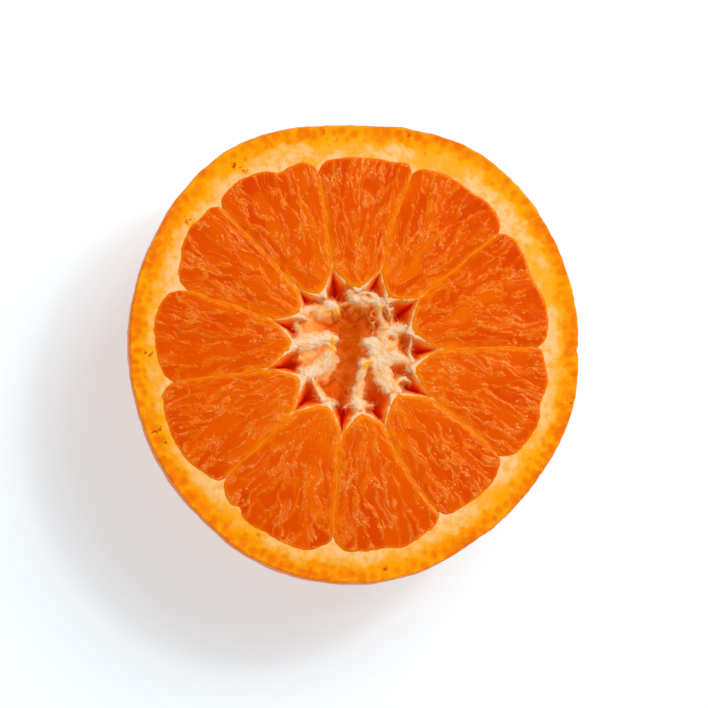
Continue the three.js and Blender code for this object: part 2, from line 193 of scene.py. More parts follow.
# Yellow veins in the pith: (x, y, half width, half length, turn in degrees, yellow)
VEINS = [
    (-2.75, 6.2, 0.42, 0.46, 60, 1.0), (-3.3, 1.75, 0.3, 0.85, 100, 1.0),
    (-3.4, 0.55, 0.36, 0.55, 130, 1.0), (2.3, -1.6, 0.34, 0.78, 5, 1.0),
    (1.6, -2.0, 0.3, 0.5, 80, 1.0), (4.1, 7.05, 0.32, 0.38, 0, 1.0),
    (4.8, 3.75, 0.34, 0.44, 170, 0.8), (5.5, 0.6, 0.32, 0.42, 0, 0.85),
    (-0.4, 9.3, 0.4, 0.5, 20, 0.7), (0.8, -8.9, 0.2, 0.24, 0, 0.6),
    (-4.6, 6.6, 0.3, 1.3, 155, 0.45), (-7.7, 1.2, 0.2, 1.1, 12, 0.5),
    (-6.3, 2.9, 0.2, 1.3, 150, 0.4), (-5.2, -1.9, 0.22, 0.4, 45, 0.4),
    (5.5, -4.4, 0.25, 0.35, 40, 0.35), (1.1, -5.0, 0.16, 0.9, 75, 0.35),
    (3.8, -0.2, 0.2, 0.5, 60, 0.3), (6.1, -5.7, 0.4, 0.4, 0, 0.7),
]


# ---------------------------------------------------------------- curves and noise

def smooth_curve(x, knots, values):
    """A smooth curve through the values at their knots, read at x."""
    knots, values = np.asarray(knots, float), np.asarray(values, float)
    slopes = np.gradient(values, knots)
    i = np.clip(np.searchsorted(knots, x, side="right") - 1, 0, len(knots) - 2)
    step = knots[i + 1] - knots[i]
    t = (x - knots[i]) / step
    keep = (1 + 2 * t) * (1 - t) ** 2
    start = t * (1 - t) ** 2 * step * slopes[i]
    end = t * t * (t - 1) * step * slopes[i + 1]
    return keep * values[i] + (1 - keep) * values[i + 1] + start + end


def rim_radius(bearing):
    """Outside of the rind at the cut, for a bearing in degrees."""
    knots = np.arange(-2, len(RIM_RADII) + 3) * RIM_STEP
    values = np.take(RIM_RADII, np.arange(-2, len(RIM_RADII) + 3), mode="wrap")
    return smooth_curve(np.mod(bearing, 360), knots, values)


def rise(x, low, high):
    """0 below low, 1 above high, and smooth between."""
    t = np.clip((x - low) / (high - low), 0, 1)
    return t * t * (3 - 2 * t)


def mix(a, b, share):
    return a + (b - a) * share


def hump(x, width):
    """1 where x is 0, and less and less away from there, over about the width."""
    return np.exp(-(x / width) ** 2)


def unit(vectors):
    """The rows as vectors of length 1."""
    return vectors / (np.linalg.norm(vectors, axis=1, keepdims=True) + 1e-12)


def from_bearing(bearing, zero):
    """Degrees from one bearing to another, between -180 and 180."""
    return (bearing - zero + 180) % 360 - 180


LATTICE_SIZE = 32
LATTICE = np.random.default_rng(5).normal(size=(LATTICE_SIZE,) * 3 + (3,))
LATTICE /= np.linalg.norm(LATTICE, axis=-1, keepdims=True)


def noise(points, cell, shift=0.0):
    """Smooth values of about -1 to 1 at points in mm, in lumps as large as the cell. Another
    shift gives another pattern."""
    points = np.asarray(points, float)
    if points.shape[1] == 2:
        points = np.column_stack([points, np.zeros(len(points))])
    at = points / cell + shift * np.array([1.7, 2.9, 0.37])
    base = np.floor(at).astype(int)
    part = at - base
    fade = part ** 3 * (part * (part * 6 - 15) + 10)
    total = np.zeros(len(at))
    for corner in np.ndindex(2, 2, 2):
        weight = np.prod(np.where(corner, fade, 1 - fade), axis=1)
        x, y, z = ((base + corner) % LATTICE_SIZE).T
        total += weight * np.einsum("ij,ij->i", LATTICE[x, y, z], part - corner)
    return total * 1.6


def warp(points, cell, reach, shift=0.0):
    """The points, each pushed sideways by up to about the reach."""
    push = [noise(points, cell, shift + 11 * (axis + 1)) for axis in range(points.shape[1])]
    return points + reach * np.column_stack(push)


def creases(points, cell, shift=0.0):
    """Thin curving lines: 1 on a line, 0 away from it."""
    return np.clip(1 - 3.2 * np.abs(noise(points, cell, shift)), 0, 1) ** 1.5


# ---------------------------------------------------------------- making and finishing pieces

def deselect():
    if bpy.context.object and bpy.context.object.mode != "OBJECT":
        bpy.ops.object.mode_set(mode="OBJECT")
    bpy.ops.object.select_all(action="DESELECT")


def begin(add, name, **settings):
    """Adds a primitive with nothing else selected, and names it."""
    deselect()
    add(**settings)
    piece = bpy.context.object
    piece.name = piece.data.name = name
    return piece


@contextmanager
def editing(start=None, kind="VERT"):
    """Edit mode on the current piece, with all, nothing or what is marked selected at first."""
    bpy.ops.object.mode_set(mode="EDIT")
    bpy.ops.mesh.select_mode(type=kind)
    if start:
        bpy.ops.mesh.select_all(action=start)
    yield
    bpy.ops.object.mode_set(mode="OBJECT")


def mark_points(piece, marks):
    """Marks these vertices alone, and with them what lies between them."""
    with editing("DESELECT"):
        pass
    piece.data.vertices.foreach_set("select", marks)


def drop_points(piece, marks):
    mark_points(piece, marks)
    with editing():
        bpy.ops.mesh.delete(type="VERT")


def turn_on_lathe(name, rows, columns):
    """A closed globe turned from half a circle: the piece, and each vertex's row, from the top
    pole down, and column."""
    piece = begin(bpy.ops.mesh.primitive_circle_add, name, vertices=2 * rows, radius=MM,
                  rotation=(math.pi / 2, 0, 0), fill_type="NOTHING")
    bpy.ops.object.transform_apply(rotation=True)
    round_off = 1e-6
    at = points_of(piece)
    row = np.round(np.arctan2(np.abs(at[:, 0]), at[:, 2]) / np.pi * rows)
    store(piece, "row", row)
    drop_points(piece, at[:, 0] < -round_off)
    turned = piece.modifiers.new("turned", "SCREW")
    turned.axis, turned.angle = "Z", 2 * math.pi
    turned.steps = turned.render_steps = columns
    turned.use_merge_vertices, turned.merge_threshold = True, round_off * MM
    bpy.ops.object.modifier_apply(modifier="turned")
    row = recall(piece, "row")
    piece.data.attributes.remove(piece.data.attributes["row"])
    at = points_of(piece)
    column = np.round(np.arctan2(at[:, 1], at[:, 0]) / (2 * np.pi) * columns).astype(int)
    return piece, np.round(row).astype(int), column % columns


def vectors_of(piece, name):
    """A vector of each vertex: its "co" or "normal"."""
    flat = np.empty(len(piece.data.vertices) * 3)
    piece.data.vertices.foreach_get(name, flat)
    return flat.reshape(-1, 3)


def points_of(piece):
    """The piece's vertices, in mm."""
    return vectors_of(piece, "co") / MM


def place_points(piece, points):
    piece.data.vertices.foreach_set("co", (np.asarray(points) * MM).ravel())
    piece.data.update()


def store(piece, name, values):
    """Keeps one number for each vertex, for the material to read."""
    kept = piece.data.attributes.new(name, "FLOAT", "POINT")
    kept.data.foreach_set("value", np.asarray(values, np.float32))


def recall(piece, name):
    """The numbers that were stored for its vertices."""
    values = np.empty(len(piece.data.vertices), np.float32)
    piece.data.attributes[name].data.foreach_get("value", values)
    return values


def finish_piece(piece, slot, *materials):
    """Normals outwards, smooth shading, materials, and its part in the frame; its slot is not
    used."""
    deselect()
    piece.select_set(True)
    bpy.context.view_layer.objects.active = piece
    with editing("SELECT"):
        bpy.ops.mesh.normals_make_consistent(inside=False)
    bpy.ops.object.transform_apply(location=True, rotation=True, scale=True)
    bpy.ops.object.shade_smooth()
    piece.data.materials.clear()
    for material in materials:
        piece.data.materials.append(material)
    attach(piece, "root")
    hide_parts(SOLID)
    return piece


# ---------------------------------------------------------------- the segments' outline

def membranes_of(index):
    """The segment, and the one whose first membrane closes it, in bearings that keep rising."""
    here, following = SEGMENTS[index], SEGMENTS[(index + 1) % COUNT]
    turn = 360 if index + 1 == COUNT else 0
    closing = (following["core"][0] + turn, following["core"][1], here["back"][-1][0],
               following["bow"])
    return (*here["core"], here["back"][0][0], here["bow"]), closing


def inner_radius(index, across):
    """Radius of a segment's round inner end, across = 0 to 1 from membrane to membrane."""
    first, closing = membranes_of(index)
    tip_bearing, tip_radius = SEGMENTS[index]["tip"]
    middle = (tip_bearing - first[0]) / (closing[0] - first[0])
    before = across < middle
    away = np.where(before, (middle - across) / middle, (across - middle) / (1 - middle))
    corner = np.where(before, first[1], closing[1])
    return mix(tip_radius, corner, np.abs(away) ** TIP_POWER)


def outer_radius(index, across):
    """Radius of its outer side against the rind, full almost up to its round corners."""
    bearings, radii = zip(*SEGMENTS[index]["back"])
    radius = smooth_curve(mix(bearings[0], bearings[-1], across), bearings, radii)
    width = np.radians(bearings[-1] - bearings[0]) * radii[0]
    for from_side in (across * width, (1 - across) * width):
        share = from_side / CORNER_REACH
        radius = radius + CORNER_FULLNESS * share * np.exp(1 - share)
    return radius


def pulp_edge(bearing):
    """Radius at which the rind meets the pulp."""
    edge = np.zeros(len(bearing))
    for index, segment in enumerate(SEGMENTS):
        low, high = segment["back"][0][0], segment["back"][-1][0]
        past = np.mod(bearing - low, 360)
        here = past <= high - low
        edge[here] = outer_radius(index, past[here] / (high - low))
    return edge


def side_bearings(index, outwards):
    """Bearings of its two membranes, outwards = 0 at the hollow and 1 at the rind."""
    return [mix(core, rind, outwards) + bow * np.sin(np.pi * np.clip(outwards, 0, 1))
            for core, _, rind, bow in membranes_of(index)]


def waver(index, radius):
    """How far a membrane strays sideways from its smooth line, in mm."""
    line = np.column_stack([radius, np.full(len(radius), 9.1 * (index % COUNT))])
    return (0.2 * noise(line, 2.8, 3.0) + 0.08 * noise(line, 0.9, 4.0)) * rise(radius, 12, 16)


def around(bearing, radius):
    turn = np.radians(bearing)
    return np.column_stack([radius * np.cos(turn), radius * np.sin(turn)])


# ---------------------------------------------------------------- juice sacs

def scatter_sacs(index, sizes, rng):
    """Places the sacs of a segment evenly, each pointing away from the segment's inner end."""
    crowding, tries_each, focus_behind = 1.25, 40, 5.5   # the last in mm behind the inner end
    first, closing = membranes_of(index)
    area = math.radians(closing[0] - first[0]) * (PULP_OUTSIDE ** 2 - PULP_INSIDE ** 2) / 2
    wanted = int(area / (sizes.sac_width / MM * sizes.sac_length / MM) * crowding)
    middle, tip = SEGMENTS[index]["tip"]
    focus = around(np.array([middle]), np.array([tip - focus_behind]))[0]
    stretch = sizes.sac_length / sizes.sac_width
    chosen, facing = [], []
    while len(chosen) < wanted:
        across = rng.uniform(0.03, 0.97, tries_each)
        outwards = rng.uniform(0.0025, 1, tries_each) ** 0.62
        low, high = side_bearings(index, outwards)
        radius = mix(inner_radius(index, across), outer_radius(index, across), outwards)
        tries = around(mix(low, high, across), radius)
        away = unit(tries - focus)
        if chosen:
            offset = tries[:, None] - np.array(chosen)[None]
            along = np.einsum("nkj,nj->nk", offset, away)
            side = np.abs(offset[..., 0] * away[:, None, 1] - offset[..., 1] * away[:, None, 0])
            apart = np.hypot(along / stretch, side).min(axis=1)
        else:
            apart = np.ones(len(tries))
        best = int(np.argmax(apart))
        lean = math.radians(rng.normal(0, 9))
        turn = np.array([[math.cos(lean), -math.sin(lean)], [math.sin(lean), math.cos(lean)]])
        chosen.append(tries[best])
        facing.append(turn @ away[best])
    return np.array(chosen), np.array(facing)


def find_sacs(points, seeds, facing, width, length):
    """For each point its sac, the distance in mm to the wall of the next one, and its place in
    the sac's own length and width."""
    offset = points[:, None] - seeds[None]
    along = offset[..., 0] * facing[:, 0] + offset[..., 1] * facing[:, 1]
    side = offset[..., 1] * facing[:, 0] - offset[..., 0] * facing[:, 1]
    apart = np.sqrt((along / length) ** 2 + (side / width) ** 2) + 1e-6
    nearest = np.argsort(apart, axis=1)[:, :2]
    row = np.arange(len(points))
    slopes = []
    for k in nearest.T:
        a, s = along[row, k] / length[k] ** 2, side[row, k] / width[k] ** 2
        slopes.append((a[:, None] * facing[k]
                       + s[:, None] * np.column_stack([-facing[k, 1], facing[k, 0]]))
                      / apart[row, k][:, None])
    steep = np.linalg.norm(slopes[1] - slopes[0], axis=1) + 1e-6
    first, second = nearest.T
    to_wall = (apart[row, second] - apart[row, first]) / steep
    return first, to_wall, along[row, first], side[row, first]


def sac_relief(index, plane, sizes, rng):
    """Height over the cut plane, and what the colours read, for points of one segment."""
    seeds, facing = scatter_sacs(index, sizes, rng)
    count = len(seeds)
    width = rng.uniform(0.75, 1.3, count)
    length = rng.uniform(0.75, 1.35, count) * sizes.sac_length / sizes.sac_width
    bent = warp(warp(plane, 3.4, 0.7, index), 1.0, 0.2, index + 0.5)
    sac, to_wall, along, side = find_sacs(bent, seeds, facing, width, length)

    tone = rng.normal(0, 0.23, count)
    lift = rng.normal(0, 1, count)
    torn = rng.uniform(-0.16, 0.24, count)   # how much of its skin has come off the sac
    inside = rise(to_wall, 0.0, 0.6)

    # Scraps of skin, longer than wide, each with a thin raised edge
    own = np.column_stack([along / 2.9, side, sac * 3.7])
    scrap = (noise(warp(own, 0.8, 0.35, 3.0), 1.0) + 0.45 * noise(own * [1.5, 1, 1], 0.42, 2.0)
             + 0.14 * noise(plane, 0.3, 5.0))
    level = 0.3 + torn[sac] - 0.35 * noise(plane, 4.5, 13.0) - 0.2 * hump(to_wall, 0.5)
    over = scrap - level
    covered = rise(over, 0.0, 0.1)
    edge = hump(over - 0.05, 0.05) * rise(noise(plane, 0.9, 6.0), -0.3, 0.15)
    folds = creases(warp(own, 0.7, 0.5, 8.0), 0.75, 1.0) * rise(noise(plane, 1.2, 7.0), -0.15, 0.3)
    fine = creases(warp(own * [1.5, 1, 1], 0.4, 0.2, 9.0), 0.4, 2.0) * covered
    fine *= rise(noise(plane, 1.0, 16.0), -0.1, 0.25)
    # Ribs that run along a sac, in groups
    lengthwise = np.column_stack([along / 8.0, side, sac * 3.7])
    ribs = creases(warp(lengthwise, 0.9, 0.25, 14.0), 0.7, 3.0)
    ribs *= rise(noise(own, 1.5, 15.0), -0.05, 0.3)
    # Seams where two sacs meet: soft bands, wide and narrow by turns, faint at the sacs' ends
    wide = mix(0.12, 0.38, rise(noise(bent, 1.9, 4.0), -0.45, 0.5))
    seam = hump(to_wall, wide) * rise(noise(plane, 2.3, 8.0), -0.5, 0.15)
    endwise = (along / length[sac]) ** 2
    endwise /= endwise + (side / width[sac]) ** 2 + 1e-6
    seam *= 1 - 0.7 * rise(endwise, 0.5, 0.85)

    height = 0.035 * lift[sac] * inside + 0.05 * noise(plane, 2.2, 9.0)
    height += 0.05 * covered + 0.045 * edge + 0.05 * covered * folds + 0.045 * fine
    height += 0.045 * seam + 0.035 * ribs + 0.018 * noise(plane, 0.7, 11.0)
    pale = np.clip(0.4 * seam + 0.33 * covered + 0.2 * covered * folds + 0.33 * ribs, 0, 1)
    # painted highlight: a paler, pinkish colour on the scraps' raised edges, folds, creases and ribs,
    # where wet skin would catch the light
    sheen = np.clip(edge + 0.5 * covered * folds + 0.6 * fine + 0.35 * ribs, 0, 1)
    sheen *= rise(noise(plane, 2.6, 12.0), -0.35, 0.35)
    return height * sizes.sac_relief, pale, tone[sac] * inside, sheen


# ---------------------------------------------------------------- nodes and materials

SHARE, UNDER, OVER, MIXED = 0, 6, 7, 2   # sockets of a Mix node that mixes colours


def linear(colour):
    """An sRGB hex colour as the linear one that Blender's sockets hold."""
    parts = [int(colour[i:i + 2], 16) / 255 for i in (1, 3, 5)]
    return (*(p / 12.92 if p <= 0.04045 else ((p + 0.055) / 1.055) ** 2.4 for p in parts), 1.0)


def feed(tree, node, inputs):
    """Gives a node's inputs, by name or in their order, a link, a hex colour or a value."""
    for socket, source in inputs.items() if isinstance(inputs, dict) else enumerate(inputs):
        if isinstance(source, bpy.types.NodeSocket):
            tree.links.new(source, node.inputs[socket])
        else:
            value = linear(source) if isinstance(source, str) else source
            node.inputs[socket].default_value = value


def add_node(tree, kind, inputs=(), out=0, stops=(), **settings):
    """Adds a node with its settings, inputs and colour stops, and hands back one output."""
    made = tree.nodes.new("ShaderNode" + kind)
    for name, value in settings.items():
        setattr(made, name, value)
    feed(tree, made, inputs)
    for i, (place, colour) in enumerate(stops):
        ramp = made.color_ramp.elements
        stop = ramp[i] if i < 2 else ramp.new(place)
        stop.position, stop.color = place, linear(colour)
    return made.outputs[out]


def start_material(name):
    """A new material, and its way to add nodes."""
    material = bpy.data.materials.new(name)
    material.use_nodes = True
    return material, partial(add_node, material.node_tree)


def finish_material(material, inputs):
    tree = material.node_tree
    feed(tree, tree.nodes["Principled BSDF"], inputs)
    return material


def waxed_peel(colours):
    """Orange peel, grown and waxed: a satin gloss over dimples, each with a darker oil gland."""
    material, add = start_material("waxed orange peel")
    place = add("TexCoord", out="Object")
    pore = add("Attribute", out="Fac", attribute_name="pore")
    # ripeness varies over about a centimetre
    patches = add("TexNoise", {"Vector": place, "Scale": 90.0, "Detail": 3.0})
    shade = colours.peel_deep
    for share, over in ((patches, colours.peel), (pore, colours.peel_pore)):
        shade = add("Mix", {SHARE: share, UNDER: shade, OVER: over}, MIXED, data_type="RGBA")
    # fine grain of the wax, 0.4 mm across
    grain = add("TexNoise", {"Vector": place, "Scale": 2600.0, "Detail": 2.0})
    bump = add("Bump", {"Height": grain, "Strength": 0.25, "Distance": 0.00004})
    return finish_material(material, {
        "Base Color": shade, "Normal": bump, "Roughness": 0.4, "Specular IOR Level": 0.35,
        "Specular Tint": "#FFB060", "Coat Weight": 0.06, "Coat Roughness": 0.25})


def cut_rind(colours):
    """Rind cut with a knife: juicy orange skin with round oil glands, then soft white pith that
    is matte, mottled yellow, and palest beside the pulp."""
    material, add = start_material("knife-cut orange rind")
    place = add("TexCoord", out="Object")
    depth, gland = [add("Attribute", out="Fac", attribute_name=name)
                    for name in ("into_rind", "gland")]
    # mottling about 2.5 mm across shifts the layers in and out
    mottle = add("TexNoise", {"Vector": place, "Scale": 400.0, "Detail": 4.0, "Roughness": 0.6})
    shift = add("Math", [mottle, -0.5], operation="ADD")
    shifted = add("Math", [shift, 5.0, depth], operation="MULTIPLY_ADD")
    share = add("Math", [shifted, 1 / 6.0], operation="MULTIPLY")
    shade = add("ValToRGB", {"Fac": share}, stops=[
        (0.0, "#EE6C00"), (1.0, "#FFCA8C"), (0.08, "#F47A00"), (0.2, "#FB8800"),
        (0.36, "#FF9200"), (0.42, "#FFA010"), (0.48, "#FFB040"), (0.6, "#FFC070")])
    # patches, from a centimetre down to a millimetre across, are creamier or yellower
    patches = add("TexNoise", {"Vector": place, "Scale": 130.0, "Detail": 6.0, "Roughness": 0.7})
    yellow = add("MapRange", [patches, 0.48, 0.57, 0.0, 0.85])
    freckles = add("TexNoise", {"Vector": place, "Scale": 700.0, "Detail": 5.0, "Roughness": 0.7})
    some = add("MapRange", [freckles, 0.5, 0.6, 0.0, 0.7])
    # a few red-brown tears, about half a millimetre, where the knife has dragged
    tears = add("TexNoise", {"Vector": place, "Scale": 1300.0, "Detail": 2.0, "Distortion": 0.6})
    level = add("MapRange", [tears, 0.5, 0.6, 0.0, 1.0])
    spots = add("TexNoise", {"Vector": place, "Scale": 260.0, "Detail": 1.0})
    rare = add("MapRange", [spots, 0.69, 0.74, 0.0, 0.95])
    torn = add("Math", [rare, level], operation="MULTIPLY")
    for share, over in ((yellow, "#FFA600"), (some, "#FFA610"), (gland, colours.gland),
                        (torn, "#D83A00")):
        shade = add("Mix", {SHARE: share, UNDER: shade, OVER: over}, MIXED, data_type="RGBA")
    # sponge-like surface, 0.7 mm from lump to lump
    grain = add("TexNoise", {"Vector": place, "Scale": 1500.0, "Detail": 3.0})
    bump = add("Bump", {"Height": grain, "Strength": 0.35, "Distance": 0.00008})
    return finish_material(material, {
        "Base Color": shade, "Normal": bump, "Roughness": 0.6, "Specular IOR Level": 0.2,
        "Specular Tint": "#FFC070"})


def juice_sacs(colours):
    """Cut pulp: deep orange juice behind thin clear skins. Sac walls and folds look paler, crinkled
    skin carries a painted highlight with tiny painted glints in it, the juice is darkest towards
    the rind, and the film is wet and glossy."""
    material, add = start_material("cut orange pulp")
    place = add("TexCoord", out="Object")
    pale, tone, sheen, edge, outward = [add("Attribute", out="Fac", attribute_name=name)
                                        for name in ("pale", "tone", "sheen", "margin", "outward")]
    # juice: darker outwards, varied from sac to sac and by cloudiness over 3 mm
    clouds = add("TexNoise", {"Vector": place, "Scale": 330.0, "Detail": 3.0})
    dark = add("Math", [outward, 0.45, tone], operation="MULTIPLY_ADD")
    cloudy = add("Math", [clouds, 0.45, dark], operation="MULTIPLY_ADD")
    shade = add("ValToRGB", {"Fac": cloudy}, stops=[
        (0.0, "#EF6600"), (1.0, "#DC4200"), (0.35, "#E85600"), (0.65, "#E34E00")])
    # painted glints, 0.2 mm across, near-white dots on the crinkled skin
    grain = add("TexNoise", {"Vector": place, "Scale": 4200.0, "Detail": 1.0})
    glint_spots = add("MapRange", [grain, 0.58, 0.68, 0.0, 0.9])
    painted_glints = add("Math", [glint_spots, sheen], operation="MULTIPLY")
    # threads of torn skin, 0.1 mm thick, on the folds
    crossing = add("TexNoise", {"Vector": place, "Scale": 800.0, "Detail": 1.0,
                                "Distortion": 1.2})
    middle = add("Math", [crossing, -0.5], operation="ADD")
    apart = add("Math", [middle], operation="ABSOLUTE")
    thread = add("MapRange", [apart, 0.0, 0.035, 1.0, 0.0])
    folded = add("MapRange", [pale, 0.1, 0.45, 0.0, 0.6])
    threads = add("Math", [thread, folded], operation="MULTIPLY")
    # paler sac walls, the painted highlight, bright margins, threads, then painted glints
    for share, over in ((pale, colours.sac_wall), (sheen, colours.sac_sheen),
                        (edge, colours.margin), (threads, "#FA8C2C"), (painted_glints, "#F6C4A0")):
        shade = add("Mix", {SHARE: share, UNDER: shade, OVER: over}, MIXED, data_type="RGBA")
    # fine wrinkles of the wet skin, 0.3 mm apart
    wrinkles = add("TexNoise", {"Vector": place, "Scale": 3000.0, "Detail": 2.0,
                                "Distortion": 0.6})
    bump = add("Bump", {"Height": wrinkles, "Strength": 0.18, "Distance": 0.00005})
    return finish_material(material, {
        "Base Color": shade, "Normal": bump, "Roughness": 0.2, "IOR": 1.36,
        "Specular IOR Level": 0.4, "Specular Tint": "#FFB868"})


def segment_membrane(colours):
    """Membrane between two segments: thin, see-through and juice-soaked, satin, and whiter at
    both ends where it thickens into pith."""
    material, add = start_material("orange membrane")
    place = add("TexCoord", out="Object")
    cream = add("Attribute", out="Fac", attribute_name="cream")
    # streaks of juice, 2 mm apart
    streaks = add("TexNoise", {"Vector": place, "Scale": 500.0, "Detail": 3.0})
    tone = add("ValToRGB", {"Fac": streaks}, stops=[(0.3, "#EA6A00"), (0.7, "#F88606")])
    shade = add("Mix", {SHARE: cream, UNDER: tone, OVER: colours.core_edge}, MIXED,
                data_type="RGBA")
    return finish_material(material, {
        "Base Color": shade, "Roughness": 0.4, "Specular IOR Level": 0.3,
        "Specular Tint": "#FFC080"})


def core_walls():
    """Walls of the hollow core: membrane torn open, cream at its rim, orange below, and a deep
    juice red down in the clefts between the segments, darker with depth as painted shade; the floor
    is brownish and cloudy. A faint painted glow stands for the light that comes through the
    see-through pulp behind."""
    material, add = start_material("torn core wall")
    place = add("TexCoord", out="Object")
    depth, cleft, floor = [add("Attribute", out="Fac", attribute_name=name)
                           for name in ("depth", "cleft", "floor")]
    # ragged tears, 1.1 mm across, shift the bands of colour up and down
    ragged = add("TexNoise", {"Vector": place, "Scale": 900.0, "Detail": 4.0, "Roughness": 0.7})
    jitter = add("Math", [ragged, -0.5], operation="ADD")
    torn = add("Math", [jitter, 1.4, depth], operation="MULTIPLY_ADD")
    share = add("Math", [torn, 0.1], operation="MULTIPLY")
    shade = add("ValToRGB", {"Fac": share}, stops=[
        (0.0, "#EECAA2"), (1.0, "#DA5A08"), (0.03, "#F0BA84"), (0.08, "#F2A24C"),
        (0.16, "#EE8424"), (0.3, "#E87010"), (0.55, "#DE600C")])
    # deep red of the clefts, darker with depth: juice red with painted shade
    red = add("ValToRGB", {"Fac": share}, stops=[
        (0.0, "#F2B87A"), (1.0, "#C01000"), (0.07, "#F4A650"), (0.17, "#F08420"),
        (0.28, "#E46006"), (0.4, "#D83C00"), (0.6, "#C81C00")])
    # clouds over the floor, 2.6 mm across
    clouds = add("TexNoise", {"Vector": place, "Scale": 380.0, "Detail": 5.0, "Roughness": 0.6})
    brown = add("ValToRGB", {"Fac": clouds}, stops=[
        (0.3, "#C64E00"), (0.7, "#F4A048"), (0.5, "#E27C0E")])
    for share, over in ((cleft, red), (floor, brown)):
        shade = add("Mix", {SHARE: share, UNDER: shade, OVER: over}, MIXED, data_type="RGBA")
    bump = add("Bump", {"Height": ragged, "Strength": 0.5, "Distance": 0.0002})
    below = add("MapRange", [depth, 0.3, 1.8, 0.25, 1.0])
    glow = add("Mix", {SHARE: below, UNDER: "#000000", OVER: shade}, MIXED, data_type="RGBA")
    return finish_material(material, {
        "Base Color": shade, "Emission Color": glow, "Normal": bump, "Emission Strength": 0.3,
        "Roughness": 0.8, "Specular IOR Level": 0.0})


def torn_pith():
    """Torn white pith: dry cottony fibres, matte, cream where it is thick, peach and orange
    where it is thin or juice has got in, orange too as painted shade where it lies deep or in
    pits, and egg yellow where veins run."""
    material, add = start_material("torn orange pith")
    place = add("TexCoord", out="Object")
    soak_and_shade, vein = [add("Attribute", out="Fac", attribute_name=name)
                    for name in ("soak_and_shade", "vein")]
    # juice has soaked in unevenly, over 0.7 mm
    patches = add("TexNoise", {"Vector": place, "Scale": 1400.0, "Detail": 3.0, "Roughness": 0.6})
    uneven = add("Math", [patches, 0.4, soak_and_shade], operation="MULTIPLY_ADD")
    share = add("Math", [uneven, -0.2], operation="ADD")
    soak_and_shade_tint = add("ValToRGB", {"Fac": share}, stops=[
        (0.0, "#EAD2B0"), (1.0, "#D86008"), (0.2, "#EAC08C"), (0.4, "#F0AC66"),
        (0.6, "#F0903C"), (0.8, "#E87824")])
    shade = add("Mix", {SHARE: vein, UNDER: soak_and_shade_tint, OVER: "#FAB01C"}, MIXED, data_type="RGBA")
    # matted fibres, 0.4 mm apart
    fibres = add("TexNoise", {"Vector": place, "Scale": 2400.0, "Detail": 4.0, "Roughness": 0.7,
                              "Distortion": 0.8})
    bump = add("Bump", {"Height": fibres, "Strength": 0.35, "Distance": 0.00012})
    # painted glow for light that has passed through orange flesh, redder where juice has got in and
    # where the sheet lies deep or in a pit
    through = add("Mix", {SHARE: soak_and_shade, UNDER: "#A45418", OVER: "#C05C14"}, MIXED,
                  data_type="RGBA")
    return finish_material(material, {
        "Base Color": shade, "Normal": bump, "Emission Color": through,
        "Emission Strength": 0.25, "Roughness": 0.85, "Specular IOR Level": 0.0})


def white_card(colours):
    """Sheet of white card on a light table for the floor: matte, with no pattern that shows, and
    lit a little from behind."""
    material, _ = start_material("white card")
    return finish_material(material, {
        "Base Color": colours.card, "Emission Color": "#FFFFFF", "Emission Strength": 0.4,
        "Roughness": 0.9, "Specular IOR Level": 0.0})


# ---------------------------------------------------------------- what a user may change

def length(name, description, default):
    return bpy.props.FloatProperty(name=name, description=description, default=default, min=0.0,
                                   unit="LENGTH", subtype="DISTANCE", precision=5)


def colour(name, description, default):
    return bpy.props.FloatVectorProperty(name=name, description=description, size=4, min=0.0,
                                         max=1.0, subtype="COLOR", default=linear(default))


def settings(context):
    return context.scene.orange_sizes, context.scene.orange_colours


class OrangeHalfSizes(bpy.types.PropertyGroup):
    """Sizes of the orange half"""

    cut_height: length("Cut height", "Table to cut face", 0.033)
    rim_rounding: length("Rim rounding", "Rounding of the rind's cut edge", 0.0004)
    rind_dip: length("Rind dip", "How far the soft white of the rind has shrunk", 0.00012)
    pore_spacing: length("Pore spacing", "Distance between the peel's dimples", 0.0013)
    pore_depth: length("Pore depth", "Depth of a dimple", 0.00017)
    sac_width: length("Sac width", "Usual width of a juice sac", 0.0020)
    sac_length: length("Sac length", "Usual length of a juice sac", 0.0064)
    membrane: length("Membrane", "Thickness of the membrane between segments", 0.00042)
    core_rim: length("Core rim", "Width of the pale edge round the hollow", 0.00034)
    hollow_depth: length("Hollow depth", "Cut face to the floor of the core", 0.0145)
    fibre_length: length("Fibre length", "Usual length of a torn fibre", 0.00042)
    fibre_width: length("Fibre width", "Width of a torn fibre at its root", 0.00008)
    sac_relief: bpy.props.FloatProperty(
        name="Sac relief", description="How strongly the juice sacs stand out", default=1.0,
        min=0.0, max=3.0)
    fibres: bpy.props.IntProperty(
        name="Fibres", description="Number of torn fibres on pith and rims", default=15000, min=0,
        max=18000)
    seed: bpy.props.IntProperty(
        name="Seed", description="Start of the random draws", default=41, min=0)


class OrangeHalfColours(bpy.types.PropertyGroup):
    """Colours of the orange half"""

    peel: colour("Peel", "Ripe peel", "#F88400")
    peel_deep: colour("Deep peel", "Redder patches of the peel", "#EE6E00")
    peel_pore: colour("Pore", "Oil glands seen through the peel", "#DC5A00")
    gland: colour("Gland", "Oil glands cut open", "#EE6C00")
    sac_wall: colour("Sac wall", "Walls and folds of the juice sacs", "#F07404")
    sac_sheen: colour("Sac blush", "Crinkled skin that catches the light", "#F68630")
    # colour of the painted highlight on crinkled pulp skin
    margin: colour("Margin", "Bright margin round a segment's inner end", "#F88200")
    core_edge: colour("Core edge", "Pale edge of the hollow", "#F4BC78")
    card: colour("Card", "Floor", "#CEDDE4")


# ---------------------------------------------------------------- pieces

